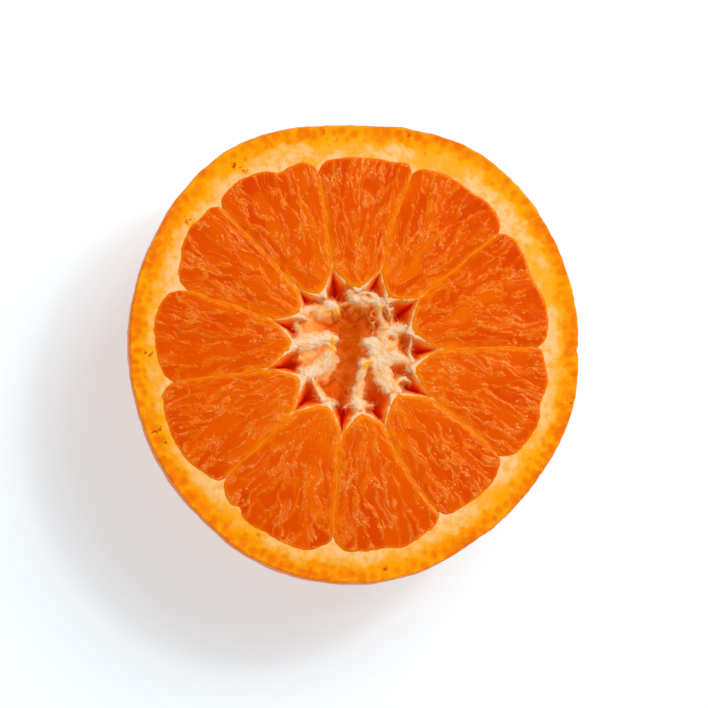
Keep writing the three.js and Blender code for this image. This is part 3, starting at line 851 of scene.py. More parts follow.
class ORANGE_OT_rind(bpy.types.Operator):
    """Bowl of rind: dimpled peel outside, cut band on top"""

    bl_idname = "orange.rind"
    bl_label = "Rind"

    COLUMNS = 576
    SPOT, DOME, EDGE, BAND, STEP, WALL = 8, 112, 4, 20, 4, 14   # rings of each stretch
    # Under the pulp, in mm: how far the band sinks, the step down, and the inside's radius
    SUNK, DROP, INSIDE = 0.05, 1.6, 25.0
    GIRTH = 35.4       # usual radius of the rim, in mm
    STRAGGLERS = 60    # oil glands off the row

    def execute(self, context):
        sizes, colours = settings(context)
        cut = sizes.cut_height / MM
        rounding, dip = sizes.rim_rounding / MM, sizes.rind_dip / MM
        stretches = (self.SPOT, self.DOME, self.EDGE, self.BAND, self.STEP, self.WALL)
        piece, row, column = turn_on_lathe("rind", sum(stretches), self.COLUMNS)
        starts = np.cumsum((0, *stretches))
        spot, dome, edge, band, step, wall = (
            np.clip((row - start) / count, 0, 1) for start, count in zip(starts, stretches))
        bearing = 360 * column / self.COLUMNS
        girth = around(bearing, np.full(len(bearing), 35.0))
        rim = rim_radius(bearing) + 0.13 * noise(girth, 3.6, 51.0) + 0.05 * noise(girth, 1.3, 52.0)
        rim -= NICK_DEPTH * hump(from_bearing(bearing, NICK_BEARING), NICK_REACH)
        reach = (cut - BULGE_DEPTH) / math.sqrt(
            1 - (REST_RADIUS / (np.mean(RIM_RADII) * BULGE_GAIN)) ** 2)

        # Outside: the resting spot, then the dome at even angles of its section
        section = mix(math.acos((cut - BULGE_DEPTH) / reach),
                      math.acos((rounding - BULGE_DEPTH) / reach), dome)
        depth = np.clip(BULGE_DEPTH + reach * np.cos(section), rounding, cut)
        share = np.where(
            depth < BULGE_DEPTH,
            mix(1, BULGE_GAIN, np.sin(np.clip(depth / BULGE_DEPTH, 0, 1) * np.pi / 2)),
            BULGE_GAIN * np.sqrt(np.clip(1 - ((depth - BULGE_DEPTH) / reach) ** 2, 0, 1)))
        wave = SKIN_WAVE * np.sin(np.pi * depth / cut) * sum(
            np.sin(count * np.radians(bearing) + twist * depth)
            for count, twist in zip(SKIN_LOBES, SKIN_TWIST))
        radius = (rim * share + wave) * spot
        # Rounded cut edge, then the band as far as the pulp, sunk below it from there
        quarter = np.pi / 2 * edge
        radius = np.where(edge > 0, rim - rounding * (1 - np.cos(quarter)), radius)
        depth = np.where(edge > 0, rounding * (1 - np.sin(quarter)), depth)
        pulp = pulp_edge(bearing) - 0.3
        radius = np.where(band > 0, mix(rim - rounding, pulp, band), radius)
        depth = np.where(band > 0, dip * np.sin(np.pi * np.clip(1.5 * band, 0, 1)) + self.SUNK,
                         depth)
        into = np.where(edge > 0, rim - radius, 0)
        radius = np.where(step > 0, mix(pulp, self.INSIDE, step ** 1.5), radius)
        depth = np.where(step > 0, self.SUNK + self.DROP * step, depth)
        quarter = wall * np.pi / 2
        radius = np.where(wall > 0, self.INSIDE * np.cos(quarter), radius)
        depth = np.where(wall > 0, self.SUNK + self.DROP + self.INSIDE * np.sin(quarter), depth)

        placed = np.column_stack([*around(bearing, radius).T, cut - depth])
        place_points(piece, placed)
        self.add_relief(piece, placed, row <= starts[3] - 3, into, bearing, sizes)
        finish_piece(piece, "rind", waxed_peel(colours), cut_rind(colours))
        above = row > starts[2] + 1
        flags = np.array([all(above[v] for v in face.vertices) for face in piece.data.polygons])
        piece.data.polygons.foreach_set("material_index", flags.astype(np.int32))
        return {"FINISHED"}

    def add_relief(self, piece, placed, skin, into, bearing, sizes):
        """Dimples the peel, and opens the oil glands along the cut."""
        rng = np.random.default_rng(sizes.seed)
        spacing = sizes.pore_spacing / MM
        # Even spiral over a ball, jittered, gives the pores' places
        ball = 35.6
        count = int(4 * math.pi * ball ** 2 / spacing ** 2)
        step = np.arange(count) + 0.5
        polar = np.arccos(1 - 2 * step / count)
        turn = np.pi * (1 + 5 ** 0.5) * step
        seeds = ball * np.column_stack([np.cos(turn) * np.sin(polar),
                                        np.sin(turn) * np.sin(polar), np.cos(polar)])
        seeds += rng.normal(0, 0.27 * spacing, seeds.shape)
        seeds = ball * unit(seeds)
        size = rng.uniform(0.28, 0.5, count) * spacing
        deep = rng.uniform(0.45, 1.15, count)
        tree = KDTree(count)
        for i, seed in enumerate(seeds):
            tree.insert(seed, i)
        tree.balance()
        middle = np.array([0, 0, ball])
        pore = np.zeros(len(placed))
        for v in np.flatnonzero(skin):
            out = placed[v] - middle
            out *= ball / np.linalg.norm(out)
            _, seed, apart = tree.find(out)
            pore[v] = deep[seed] * math.exp(-(apart / size[seed]) ** 2)
        normal = vectors_of(piece, "normal")
        if np.mean(np.sum(normal[skin] * (placed[skin] - middle), axis=1)) < 0:
            normal = -normal
        above = rise(placed[:, 2], 0.02, 1.2)
        rough = 0.05 * noise(placed, 3.0) + 0.02 * noise(placed, 1.1, 3.0)
        push = np.where(skin, above * (rough - sizes.pore_depth / MM * pore), 0)

        # Cut glands: round, or drawn out inwards, in one loose row and some stragglers
        arc, whole = np.radians(bearing) * self.GIRTH, 2 * math.pi * self.GIRTH
        wobble = 0.15 * noise(placed, 0.7, 14.0)
        gland = np.zeros(len(placed))
        band = into > 0

        def open_gland(at, deep_in, wide, tall, strong, ragged):
            off = np.abs(arc - at)
            off = np.minimum(off, whole - off)
            inside = np.hypot(off / wide, (into - deep_in) / tall) + ragged
            return np.where(band, np.maximum(gland, strong * (1 - rise(inside, 0.6, 1.2))), gland)

        at = 0.0
        while at < whole - 0.8:
            gland = open_gland(at, rng.uniform(0.6, 1.5), rng.uniform(0.5, 0.85),
                               rng.uniform(0.55, 0.95), rng.uniform(0.35, 1.0), wobble)
            at += rng.uniform(1.1, 2.2)
        for _ in range(self.STRAGGLERS):
            at, deep_in = rng.uniform(0, whole), rng.uniform(1.6, 2.7)
            wide = rng.uniform(0.3, 0.55)
            gland = open_gland(at, deep_in, wide, wide, 0.55, 0.0)
        placed = placed + normal * push[:, None]
        soft = band * rise(into, 0.5, 1.5)
        placed[:, 2] += np.where(band, -0.05 * gland, 0) + soft * (
            0.05 * noise(placed, 1.8, 5.0) + 0.025 * noise(placed, 0.6, 6.0))
        place_points(piece, placed)
        store(piece, "pore", np.clip(pore, 0, 1) * 0.75)
        store(piece, "gland", np.clip(gland, 0, 1) * 0.8)
        store(piece, "into_rind", into)


class ORANGE_OT_segments(bpy.types.Operator):
    """Eleven segments of pulp, with their juice sacs in relief"""

    bl_idname = "orange.segments"
    bl_label = "Segments"

    ACROSS, ALONG = 176, 224        # cells of the cut face
    UNDER_RIM, UNDER_RIND = 0.2, 0.35   # mm that the pulp runs on under its neighbours
    RAISED, CROWN = 0.04, 0.1       # mm over the cut plane, everywhere and in the middle
    # Depth under the cut and width left, as each segment closes inside the rind
    TAPER = [(1.5, 0.995), (6.0, 0.975), (12.0, 0.91), (18.0, 0.8), (23.0, 0.62)]

    def execute(self, context):
        sizes, colours = settings(context)
        material = juice_sacs(colours)
        for index in range(COUNT):
            self.make_segment(index, sizes, material)
        return {"FINISHED"}

    def make_segment(self, index, sizes, material):
        cut = sizes.cut_height / MM
        rng = np.random.default_rng(sizes.seed + index)
        piece = begin(bpy.ops.mesh.primitive_grid_add, f"segment_{index + 1:02d}",
                      x_subdivisions=self.ACROSS, y_subdivisions=self.ALONG, size=1.0,
                      calc_uvs=False)
        flat = points_of(piece) * MM + 0.5
        across, outwards = flat[:, 0], flat[:, 1]
        inner = inner_radius(index, across) - self.UNDER_RIM
        outer = outer_radius(index, across) + self.UNDER_RIND
        radius = mix(inner, outer, outwards)
        low, high = side_bearings(index, outwards)
        covers = 0.25 + 0.3 * noise(np.column_stack([radius, across * 9]), 0.9, index + 24.0)
        gap = covers * sizes.membrane / MM
        low = low + np.degrees((gap + waver(index, radius)) / radius)
        high = high - np.degrees((gap - waver(index + 1, radius)) / radius)
        bearing = mix(low, high, across)
        plane = around(bearing, radius)
        relief, pale, tone, sheen = sac_relief(index, plane, sizes, rng)

        to_side = np.minimum(across, 1 - across) * np.radians(high - low) * radius
        to_tip = outwards * (outer - inner)
        to_back = (1 - outwards) * (outer - inner)
        ragged = 0.1 * noise(plane, 0.8, 21.0)
        calm = rise(np.minimum.reduce([to_side + 0.15, to_tip - 0.3, to_back - 0.3]), 0.0, 0.6)
        drop = np.maximum.reduce([0.1 * hump(to_side + ragged, 0.25), 0.22 * hump(to_tip, 0.4),
                                  0.5 * hump(to_back + ragged, 0.38)])
        crown = np.sin(np.pi * across) * np.sin(np.pi * np.clip(outwards * 1.2, 0, 1))
        height = cut + self.RAISED + self.CROWN * crown - drop + relief * calm

        place_points(piece, np.column_stack([plane, height]))
        fade = rise(radius, 12, 22)
        uneven = 1 + 0.5 * noise(plane, 1.5, 22.0)
        side_margin = hump(to_side, mix(0.75, 0.42, fade) * uneven ** 1.5)
        side_margin *= mix(0.95, 0.6, fade) * rise(noise(plane, 1.1, 23.0), -0.9, 0.1)
        tip_reach = mix(0.8, 0.6, np.abs(2 * across - 1)) * uneven
        tip_margin = np.exp(-(np.maximum(to_tip - 0.3, 0) / tip_reach) ** 3)
        back_margin = 0.75 * hump(np.maximum(to_back - 0.45, 0), 0.38 * uneven)
        margin = np.maximum.reduce([side_margin, tip_margin, back_margin])
        store(piece, "margin", np.clip(margin, 0, 1))
        store(piece, "pale", pale)
        # painted highlight on the crinkled skin, kept off the segment's edges
        store(piece, "sheen", sheen * calm)
        store(piece, "tone", tone)
        store(piece, "outward", outwards + 0.5 * hump(to_back, 0.9))

        with editing("DESELECT", "EDGE"):
            bpy.ops.mesh.select_non_manifold()
            before, depth = 1.0, 0.0
            for deeper, width in self.TAPER:
                bpy.ops.mesh.extrude_edges_move(
                    TRANSFORM_OT_translate={"value": (0, 0, (depth - deeper) * MM)})
                bpy.ops.transform.resize(value=(width / before, width / before, 1),
                                         center_override=(0, 0, 0))
                before, depth = width, deeper
            bpy.ops.mesh.edge_face_add()
        finish_piece(piece, "pulp", material)


class ORANGE_OT_membranes(bpy.types.Operator):
    """Eleven thin membranes that part the segments"""

    bl_idname = "orange.membranes"
    bl_label = "Membranes"

    ALONG, DOWN = 150, 10    # cells
    DEPTH = 9.0              # mm under the cut
    SUNK = 0.03              # mm from the cut to its edge
    ROUNDING = 0.15          # mm, of its edge

    def execute(self, context):
        sizes, colours = settings(context)
        material = segment_membrane(colours)
        cut = sizes.cut_height / MM
        for index in range(COUNT):
            (core, core_radius, rind, bow), _ = membranes_of(index)
            rind_radius = SEGMENTS[index]["back"][0][1]
            piece = begin(bpy.ops.mesh.primitive_grid_add, f"membrane_{index + 1:02d}",
                          x_subdivisions=self.ALONG, y_subdivisions=self.DOWN, size=1.0,
                          calc_uvs=False)
            flat = points_of(piece) * MM + 0.5
            out, up = flat[:, 0], flat[:, 1]
            radius = mix(core_radius - 0.3, rind_radius - 0.1, out)
            bearing = mix(core, rind, out) + bow * np.sin(np.pi * out)
            plane = around(bearing, radius)
            side = np.column_stack([-plane[:, 1], plane[:, 0]]) / radius[:, None]
            plane += side * (waver(index, radius) + 0.04 * noise(plane, 0.5, index))[:, None]
            top = cut - self.SUNK + 0.06 * noise(plane, 1.9, index + 3.0)
            top -= 0.3 * rise(out, 0.94, 1.0) + 0.3 * (1 - rise(out, 0.0, 0.05))
            depth = self.DEPTH * (1 - up) ** 1.6
            place_points(piece, np.column_stack([plane, top - depth]))
            cream = 0.8 * (1 - rise(radius, core_radius, core_radius + 1.4))
            cream = np.maximum(cream, 0.9 * hump(rind_radius - radius, 0.7))
            store(piece, "cream", cream)
            solid = piece.modifiers.new("thickness", "SOLIDIFY")
            solid.thickness, solid.offset = sizes.membrane, 0.0
            soft = piece.modifiers.new("rounded edge", "BEVEL")
            soft.width, soft.segments, soft.limit_method = self.ROUNDING * MM, 2, "ANGLE"
            for modifier in ("thickness", "rounded edge"):
                bpy.ops.object.modifier_apply(modifier=modifier)
            finish_piece(piece, "membrane", material)
        return {"FINISHED"}


def star_edge(sizes, per_segment):
    """Round the hollow: bearing, and radius of the pale rim's outer and inner side."""
    bearings, outer = [], []
    for index in range(COUNT):
        even = np.arange(per_segment) / per_segment
        across = even - 0.6 * np.sin(2 * np.pi * even) / (2 * np.pi)
        low, high = side_bearings(index, np.zeros(per_segment))
        bearings.append(mix(low, high, across))
        outer.append(inner_radius(index, across))
    bearing, radius = np.concatenate(bearings), np.concatenate(outer)
    ahead, behind = np.roll(radius, -1), np.roll(radius, 1)
    turn = np.radians((np.roll(bearing, -1) - np.roll(bearing, 1)) % 360)
    slope = (ahead - behind) / turn / radius
    facing = 1 / np.sqrt(1 + slope ** 2)
    share = np.tile(np.arange(per_segment) / per_segment, COUNT)
    plane = around(bearing, radius)
    frayed = 0.75 + 0.75 * noise(plane, 1.3, 31.0)
    frayed *= 1 - 0.45 * np.abs(2 * share - 1) ** 2
    width = sizes.core_rim / MM * np.clip(frayed, 0.25, 1.6) / np.maximum(facing, 0.5)
    # pith gathers in a small shelf at each segment's inner end
    shelf = 0.7 + 0.9 * noise(plane, 2.2, 33.0)
    width += np.clip(shelf, 0.2, 1.2) * hump(share - 0.5, 0.1)
    width *= 1 + 0.4 * noise(plane, 0.6, 34.0) + 0.35 * noise(plane, 0.3, 37.0)
    width = (width + np.roll(width, 1) + np.roll(width, -1)) / 3
    return bearing, radius, radius - width


class ORANGE_OT_core(bpy.types.Operator):
    """Walls, floor and pale rim of the star-shaped hollow core"""

    bl_idname = "orange.core"
    bl_label = "Core walls"

    PER_SEGMENT = 64
    FLOOR, WALL, RIM, BACK = 26, 60, 8, 12   # rings of each stretch
    LIP, RISE = 0.35, 0.25   # mm under the cut where the pale rim starts, and how far it rises
    OVERLAP = 0.08           # mm that the rim runs on into the pulp
    SHELL, BULGE = 1.2, 0.2  # mm of wall behind the floor, and its bulge in the middle

    def execute(self, context):
        sizes, _ = settings(context)
        cut, deepest = sizes.cut_height / MM, sizes.hollow_depth / MM
        columns = COUNT * self.PER_SEGMENT
        rows = self.FLOOR + self.WALL + self.RIM + self.BACK
        piece, row, column = turn_on_lathe("core_lining", rows, columns)
        bearing, outer, inner = (values[column] for values in star_edge(sizes, self.PER_SEGMENT))
        across = (column % self.PER_SEGMENT) / self.PER_SEGMENT

        on_floor = row <= self.FLOOR
        share_floor = row / self.FLOOR
        up = np.clip((row - self.FLOOR) / self.WALL, 0, 1)
        rim = np.clip((row - self.FLOOR - self.WALL) / self.RIM, 0, 1)
        back = np.clip((row - self.FLOOR - self.WALL - self.RIM) / self.BACK, 0, 1)

        spread = np.where(on_floor, 0.5 * share_floor, mix(0.5, 1, np.sin(up * np.pi / 2)))
        radius = inner * spread
        depth = np.where(on_floor, deepest, mix(deepest, self.LIP, up ** 1.15))
        radius = radius + rim * (outer + self.OVERLAP - inner)
        depth = depth - self.RISE * np.sin(np.pi / 2 * rim)
        radius = radius * (1 - 0.55 * back ** 2)
        depth = depth + back * (deepest + self.SHELL - (self.LIP - self.RISE))
        last = row == rows
        radius = np.where(last, 0, radius)
        depth = np.where(last, deepest + self.SHELL + self.BULGE, depth)
        # Flanks of a cleft lean towards each other until they meet in a crease
        point = np.round(column / self.PER_SEGMENT) % COUNT
        points_at = np.array([segment["core"][0] for segment in SEGMENTS])[point.astype(int)]
        aside = np.radians(from_bearing(bearing, points_at))
        lean = 0.42 * np.clip(depth - self.LIP, 0, 7) * np.abs(2 * across - 1) ** 0.6
        lean = np.where((rim > 0) | on_floor, 0, lean) * rise(spread, 0.5, 0.75)
        half_gap = radius * np.abs(aside) + 1e-6
        closed = 0.88 * (1 - np.exp(-1.1 * lean / half_gap))
        bearing = bearing - np.degrees(aside) * closed
        plane = around(bearing, radius)
        placed = np.column_stack([plane, cut - depth])
        visible = row < self.FLOOR + self.WALL
        lumps = (0.45 * noise(placed, 2.6) + 0.22 * noise(placed, 1.1, 2.0)
                 + 0.1 * noise(placed, 0.45, 4.0))
        sideways = around(bearing, lumps * (1 - 0.75 * up) * (1 - rim) * ~on_floor)
        placed[:, :2] -= np.where(visible[:, None], sideways * 0.8, 0)
        placed[:, 2] += np.where(on_floor, 1.5 * lumps * (1 - rise(share_floor, 0.8, 1) * 0.5), 0)
        ragged = 0.13 * noise(placed, 0.5, 8.0) + 0.1 * noise(placed, 1.4, 9.0)
        placed[:, 2] += np.where(rim > 0, ragged * (1 - back), 0)
        place_points(piece, placed)
        # The rim is palest at the segments' ends and turns orange towards the star's points
        towards_point = np.abs(2 * across - 1) ** 1.2
        pale = rise(1.1 - 1.15 * towards_point + 0.3 * noise(plane, 1.1, 35.0), 0, 1)
        left = half_gap * (1 - closed)
        flank = rise(spread, 0.4, 0.8) * (1 - rim)
        # Painted shade in the clefts: the colour depth grows where a cleft's flanks close into a crease,
        # and the cleft mask turns the walls deep red
        crease_shade = 1.2 * hump(left, 0.35) * flank * rise(depth, 0.4, 1.5)
        store(piece, "depth", np.clip(depth - 0.15, 0, 20) + 0.85 * (1 - pale) + crease_shade)
        store(piece, "cleft", hump(left, 1.0) * flank)
        store(piece, "floor", np.where(on_floor, 1.0, 1 - rise(up, 0.05, 0.45)))
        finish_piece(piece, "membrane", core_walls())
        return {"FINISHED"}


def vein_share(plane):
    """How yellow the veins make the pith at these points."""
    share = np.zeros(len(plane))
    bent = warp(plane, 0.9, 0.14, 41.0)
    for x, y, half_width, half_length, turn, yellow in VEINS:
        angle = math.radians(turn)
        along = (bent[:, 0] - x) * math.cos(angle) + (bent[:, 1] - y) * math.sin(angle)
        side = (bent[:, 1] - y) * math.cos(angle) - (bent[:, 0] - x) * math.sin(angle)
        spot = np.hypot(along / half_length, side / half_width)
        share = np.maximum(share, yellow * (1 - rise(spot, 0.65, 1.45)))
    return share


def spread_strands(plane):
    """The sheet of pith that all strands make together: its depth under the cut, how far each
    point lies outside its torn border (less than 0 inside), and a place along and across the
    nearest strand, all in mm."""
    depth_sum, beyond_sum = np.zeros(len(plane)), np.zeros(len(plane))
    best = np.full(len(plane), np.inf)
    grain = np.zeros((len(plane), 3))
    even = np.linspace(0, 1, 34)
    for number, strand in enumerate(STRANDS):
        x, y, depth, width = (smooth_curve(even, np.linspace(0, 1, len(strand)), values)
                              for values in zip(*strand))
        steps = np.column_stack([np.gradient(x), np.gradient(y)])
        size = np.hypot(*steps.T)
        travelled = np.cumsum(size)
        steps /= size[:, None]
        away = np.hypot(plane[:, :1] - x, plane[:, 1:] - y)
        near = np.argmin(away / width, axis=1)
        offset = plane - np.column_stack([x, y])[near]
        ahead, half = np.sum(offset * steps[near], axis=1), 0.5 * size[near]
        side = offset[:, 1] * steps[near, 0] - offset[:, 0] * steps[near, 1]
        past = ahead - np.clip(ahead, -half, half)
        share = np.hypot(side, past) / width[near]
        slope = (np.gradient(depth) / size)[near]
        deep = depth[near] + slope * np.clip(ahead, -half, half)
        relief = np.minimum(width[near], 0.7)
        deep += 0.5 * relief * share ** 2 + width[near] * 1.8 * np.clip(share - 1.05, 0, None) ** 2
        beyond = (share - 1) * width[near]
        depth_sum += np.exp(-DEPTH_BLEND * np.minimum(deep, 40))
        beyond_sum += np.exp(-BORDER_BLEND * np.minimum(beyond, 40))
        closer = beyond < best
        best = np.where(closer, beyond, best)
        own = np.column_stack([travelled[near] + ahead, side, np.full(len(plane), 7.3 * number)])
        grain = np.where(closer[:, None], own, grain)
    depth = -np.log(depth_sum + 1e-30) / DEPTH_BLEND
    return depth, -np.log(beyond_sum + 1e-30) / BORDER_BLEND, grain


def blurred(values, columns, reach):
    """A grid's values, each averaged with its neighbours up to about the reach away."""
    grid = values.reshape(-1, columns)
    steps = np.arange(-2 * reach, 2 * reach + 1)
    kernel = hump(steps, reach)
    kernel /= kernel.sum()
    for axis in (0, 1):
        grid = np.apply_along_axis(np.convolve, axis, grid, kernel, mode="same")
    return grid.ravel()


def unpinched(kept, columns):
    """Marks of a grid's points, less those where two cells would meet at one corner only."""
    grid = kept.reshape(-1, columns).copy()
    for _ in range(12):
        cell = grid[:-1, :-1] & grid[1:, :-1] & grid[:-1, 1:] & grid[1:, 1:]
        falling, rising = cell[:-1, :-1] & cell[1:, 1:], cell[:-1, 1:] & cell[1:, :-1]
        beside = cell[:-1, 1:] | cell[1:, :-1], cell[:-1, :-1] | cell[1:, 1:]
        grid[1:-1, 1:-1] &= ~((falling & ~beside[0]) | (rising & ~beside[1]))
    return grid.ravel()


class ORANGE_OT_pith(bpy.types.Operator):
    """Torn sheet of pith across parts of the hollow, ridged where strands run in it"""

    bl_idname = "orange.pith"
    bl_label = "Pith"

    CELL = 0.085       # mm between the sheet's points
    LOW, HIGH = (-10.9, -10.0), (10.6, 10.4)   # mm, corners of the grid it is torn from
    THICKNESS = 0.45   # mm
    HIGHEST = 0.22     # mm that it stays under the cut
    FRINGE = 0.22      # mm that its border is drawn out by
    BORDER = 0.09      # mm past the border where the grid is cut off

    def execute(self, context):
        sizes, _ = settings(context)
        cut = sizes.cut_height / MM
        low, high = np.array(self.LOW), np.array(self.HIGH)
        columns, rows = np.round((high - low) / self.CELL).astype(int)
        piece = begin(bpy.ops.mesh.primitive_grid_add, "torn_pith", x_subdivisions=int(columns),
                      y_subdivisions=int(rows), size=MM, calc_uvs=False)
        plane = mix(low, high, points_of(piece)[:, :2] + 0.5)
        depth, beyond, grain = spread_strands(warp(plane, 1.3, 0.22, 3.0))
        streaks = noise(grain * [0.55, 2.6, 1], 1.0) + 0.5 * noise(grain * [1.2, 5.5, 1], 1.0, 5.0)
        tufts = 0.5 * noise(plane, 0.8, 4.0) + 0.35 * noise(plane, 0.33, 6.0)
        torn = (0.26 * noise(plane, 1.1, 7.0) + 0.16 * noise(plane, 0.45, 8.0)
                + 0.2 * creases(warp(plane, 0.6, 0.2), 0.5, 9.0))
        border = beyond - self.FRINGE + torn * mix(0.5, 1, rise(beyond, -0.8, -0.2))
        woolly = 1 - 0.6 * rise(depth, 1.8, 3.0)
        depth += 0.55 * np.exp(np.minimum(border, 0.3) / self.FRINGE)
        depth -= (0.1 * streaks + 0.16 * tufts) * woolly
        depth = np.maximum(depth, self.HIGHEST)
        kept = unpinched(border < self.BORDER, int(columns) + 1)
        place_points(piece, np.column_stack([plane, cut - depth]))
        radius = np.hypot(*plane.T)
        outer = np.exp(np.minimum(border, 0) / 0.4) * rise(radius, 5.5, 8.0)
        # share of juice and painted shade: more orange the deeper the sheet lies, as painted warm shade,
        # plus patches, the torn outer border and streaks
        soak_and_shade = 0.34 * (depth - 1.2) + 0.2 * noise(plane, 1.9, 10.0)
        soak_and_shade += 0.1 * noise(plane, 0.6, 11.0)
        # painted shade in pits: points deeper than their neighbours turn more orange
        shallow = np.minimum(depth, 6)
        pit_shade = shallow - blurred(shallow, int(columns) + 1, round(0.5 / self.CELL))
        soak_and_shade += 0.45 * np.clip(pit_shade, -0.5, 0.8)
        soak_and_shade += 0.4 * outer + 0.08 * streaks
        store(piece, "soak_and_shade", np.clip(soak_and_shade, 0, 1))
        store(piece, "vein", np.maximum(vein_share(plane), 0.2 * outer))
        store(piece, "border", hump(border, 0.16))

        drop_points(piece, ~kept)
        with editing("SELECT"):
            bpy.ops.mesh.delete_loose()
        thick = piece.modifiers.new("thick", "SOLIDIFY")
        thick.thickness, thick.offset = self.THICKNESS * MM, -1.0
        bpy.ops.object.modifier_apply(modifier="thick")
        finish_piece(piece, "pith", torn_pith())
        return {"FINISHED"}


class ORANGE_OT_fibres(bpy.types.Operator):
    """Torn fibres on the pith and round the rim of the hollow"""

    bl_idname = "orange.fibres"
    bl_label = "Fibres"

    PER_SEGMENT = 40       # places along the rim
    PITH_SHARE = 0.75      # of the fibres; the others are on the rim
    DEEPEST = 5            # mm under the cut where fibres still grow
    STRAY = 0.3            # mm that a fibre may stand over the cut

    def execute(self, context):
        sizes, _ = settings(context)
        cut = sizes.cut_height / MM
        rng = np.random.default_rng(sizes.seed + 100)
        pith = bpy.data.objects["torn_pith"]
        at, normal = points_of(pith), vectors_of(pith, "normal")
        border = recall(pith, "border")
        tufted = rise(noise(at, 0.55, 15.0), -0.5, 0.4)
        chance = (border ** 2 * tufted + 0.015) * (normal[:, 2] > -0.3) * (cut - at[:, 2] < self.DEEPEST)
        picked = rng.choice(len(at), int(sizes.fibres * self.PITH_SHARE), p=chance / chance.sum())
        roots = at[picked]
        outwards = normal[picked] * [1, 1, 0.35]
        # Rim of the hollow: fibres point inwards from its pale edge
        rim_count = sizes.fibres - len(picked)
        bearing, _, inner = star_edge(sizes, self.PER_SEGMENT)
        column = rng.integers(0, len(bearing), rim_count)
        rim_bearing = bearing[column] + rng.uniform(-0.4, 0.4, rim_count)
        rim = around(rim_bearing, inner[column] + rng.uniform(0.0, 0.25, rim_count))
        ahead = unit(around(np.roll(bearing, -1), np.roll(inner, -1)) - around(bearing, inner))
        inwards = np.column_stack([-ahead[:, 1], ahead[:, 0]])[column]
        roots = np.vstack([roots, np.column_stack(
            [rim, cut - rng.uniform(0.15, 1.0, rim_count)])])
        outwards = unit(np.vstack([outwards, np.column_stack([inwards, np.zeros(rim_count)])]))
        count = len(roots)
        facing = unit(outwards + rng.normal(0, 0.8, (count, 3)) * [1, 1, 0.7])
        reach = sizes.fibre_length / MM * rng.gamma(4.0, 0.25, count)
        reach[:len(picked)] *= mix(0.4, 1.0, border[picked])
        reach[len(picked):] *= 0.65
        thick = sizes.fibre_width / MM / 2 * rng.uniform(0.6, 1.3, count)

        # One fibre, a cone in two lengths, is modelled once and copied
        fibre = begin(bpy.ops.mesh.primitive_cone_add, "pith_fibres", vertices=3, radius1=MM,
                      radius2=0.7 * MM, depth=MM, location=(0, 0, 0.5 * MM), calc_uvs=False,
                      end_fill_type="NGON")
        bpy.ops.object.transform_apply(location=True)
        mark_points(fibre, points_of(fibre)[:, 2] > 0.5)
        with editing():
            bpy.ops.mesh.extrude_region_move(TRANSFORM_OT_translate={"value": (0, 0, MM)})
            bpy.ops.mesh.merge(type="CENTER")
        shape = points_of(fibre)
        faces = [tuple(face.vertices) for face in fibre.data.polygons]
        helper = np.where(np.abs(facing[:, 2:3]) < 0.8, [[0.0, 0, 1]], [[1.0, 0, 0]])
        side = unit(np.cross(facing, helper))
        other = np.cross(facing, side)
        bend = rng.normal(0, 0.5, (count, 3))
        along = shape[:, 2] / 2
        made = (roots[:, None]
                + thick[:, None, None] * (shape[None, :, :1] * side[:, None]
                                          + shape[None, :, 1:2] * other[:, None])
                + (reach[:, None] * along[None])[..., None] * facing[:, None]
                + (reach[:, None] * along[None] ** 2)[..., None] * bend[:, None])
        made = made.reshape(-1, 3)
        made[:, 2] = np.minimum(made[:, 2], cut + self.STRAY)
        size = len(shape)
        all_faces = [tuple(v + size * i for v in face) for i in range(count) for face in faces]
        mesh = fibre.data
        mesh.clear_geometry()
        mesh.from_pydata((made * MM).tolist(), [], all_faces)
        # Fibres are more orange the deeper their roots lie, as painted warm shade; those on the rim are
        # orange, most of all near the star's points
        pale = rng.uniform(0.05, 0.35, count) + 0.25 * (cut - roots[:, 2] - 1.1)
        points = np.abs(2 * (column % self.PER_SEGMENT) / self.PER_SEGMENT - 1)
        pale[len(picked):] += 0.4 + 0.35 * points ** 1.5 + 0.35 * (cut - roots[len(picked):, 2])
        store(fibre, "soak_and_shade", np.repeat(np.clip(pale, 0, 1), size))
        store(fibre, "vein", np.repeat(0.6 * vein_share(roots[:, :2]), size))
        finish_piece(fibre, "pith", pith.data.materials[0])
        return {"FINISHED"}


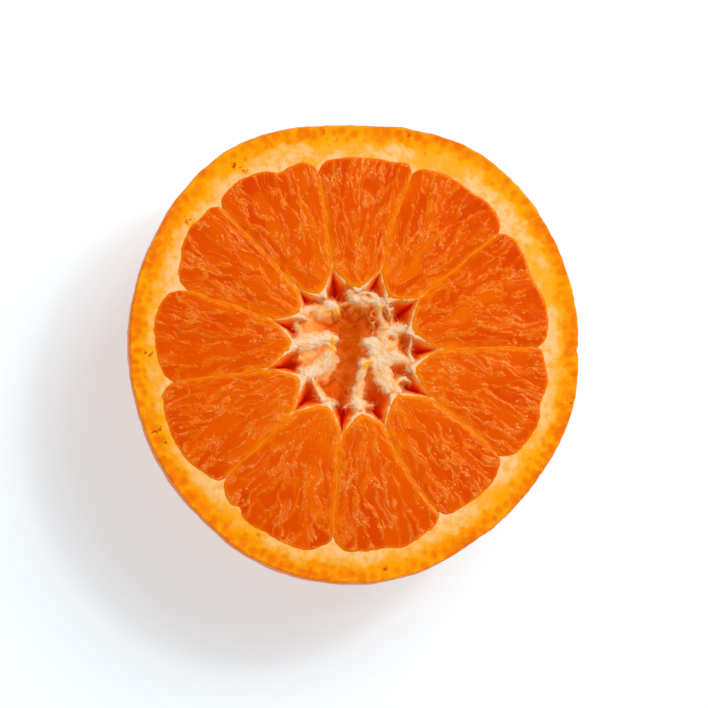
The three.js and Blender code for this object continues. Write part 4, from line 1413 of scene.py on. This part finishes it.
class ORANGE_OT_stage(bpy.types.Operator):
    """White card floor, soft lights and the camera over the cut face"""

    bl_idname = "orange.stage"
    bl_label = "Stage"

    FLOOR = 4.0                          # metres
    MIDDLE = (-0.00014, -0.00026)        # metres, what the camera looks at on the cut face
    TILT, TOWARDS = 5.5, 222             # degrees from straight above, and to which side
    LENS, SENSOR, WIDTH = 200, 36, 0.1095   # mm, mm, and metres of cut face in the picture
    # Window-like key from the upper right with a small bright spot in it, for the glints on wet
    # pulp, and a wide weak fill: bearing, height in degrees, distance, size in metres, watts
    LAMPS = [("key", 45, 56, 0.7, 0.36, KEY_POWER), ("spark", 38, 60, 0.7, 0.05, SPARK_POWER),
             ("fill", 205, 50, 0.9, 0.8, FILL_POWER)]

    def execute(self, context):
        sizes, colours = settings(context)
        floor = begin(bpy.ops.mesh.primitive_plane_add, "floor", size=self.FLOOR,
                      location=(0, 0, 0))
        floor.data.materials.append(white_card(colours))

        target = Vector((*self.MIDDLE, sizes.cut_height))
        camera = begin(bpy.ops.object.camera_add, "camera")
        tilt, towards = math.radians(self.TILT), math.radians(self.TOWARDS)
        back = Vector((math.sin(tilt) * math.cos(towards), math.sin(tilt) * math.sin(towards),
                       math.cos(tilt)))
        camera.data.lens, camera.data.sensor_width = self.LENS, self.SENSOR
        distance = self.WIDTH * self.LENS / self.SENSOR
        camera.location = target + back * distance
        right = Vector((0, 1, 0)).cross(back).normalized()
        turn = Matrix([right, back.cross(right), back]).transposed()
        camera.rotation_euler = turn.to_euler()
        context.scene.camera = camera

        for name, bearing, height, away, size, power in self.LAMPS:
            lamp = begin(bpy.ops.object.light_add, name, type="AREA")
            lamp.data.shape = "SQUARE"
            lamp.data.size = size
            lamp.data.energy = power
            a, e = math.radians(bearing), math.radians(height)
            place = Vector((math.cos(a) * math.cos(e), math.sin(a) * math.cos(e), math.sin(e)))
            lamp.location = target + place * away
            lamp.rotation_euler = place.to_track_quat("Z", "Y").to_euler()
        world = bpy.data.worlds.new("pale room")
        world.use_nodes = True
        tree = world.node_tree
        towards = add_node(tree, "TexCoord", out="Generated")
        upwards = add_node(tree, "SeparateXYZ", {"Vector": towards}, "Z")
        # bright walls and a dim ceiling, so the wet cut face mirrors no haze
        glow = add_node(tree, "MapRange", [upwards, 0.2, 0.9, ROOM_LIGHT, 0.15 * ROOM_LIGHT])
        feed(tree, tree.nodes["Background"], {"Color": "#FFFFFF", "Strength": glow})
        context.scene.world = world
        context.scene.view_settings.view_transform = "Standard"
        context.scene.view_settings.look = "None"
        return {"FINISHED"}


class ORANGE_PT_panel(bpy.types.Panel):
    """Sizes, colours and building steps of the orange half"""

    bl_idname = "ORANGE_PT_panel"
    bl_label = "Orange half"
    bl_space_type = "VIEW_3D"
    bl_region_type = "UI"
    bl_category = "Orange half"

    def draw(self, context):
        for group in (context.scene.orange_sizes, context.scene.orange_colours):
            box = self.layout.box()
            for name in group.__annotations__:
                box.prop(group, name)
        for step in STEPS:
            self.layout.operator(step.bl_idname)


STEPS = (ORANGE_OT_rind, ORANGE_OT_segments, ORANGE_OT_membranes, ORANGE_OT_core,
         ORANGE_OT_pith, ORANGE_OT_fibres, ORANGE_OT_stage)
CLASSES = (OrangeHalfSizes, OrangeHalfColours, *STEPS, ORANGE_PT_panel)


def register():
    for kind in CLASSES:
        bpy.utils.register_class(kind)
    bpy.types.Scene.orange_sizes = bpy.props.PointerProperty(type=OrangeHalfSizes)
    bpy.types.Scene.orange_colours = bpy.props.PointerProperty(type=OrangeHalfColours)


def unregister():
    del bpy.types.Scene.orange_colours
    del bpy.types.Scene.orange_sizes
    for kind in reversed(CLASSES):
        bpy.utils.unregister_class(kind)


def main():
    register()
    bpy.ops.orange.rind()
    bpy.ops.orange.segments()
    bpy.ops.orange.membranes()
    bpy.ops.orange.core()
    bpy.ops.orange.pith()
    bpy.ops.orange.fibres()
    bpy.ops.orange.stage()


if __name__ == "__main__":
    main()
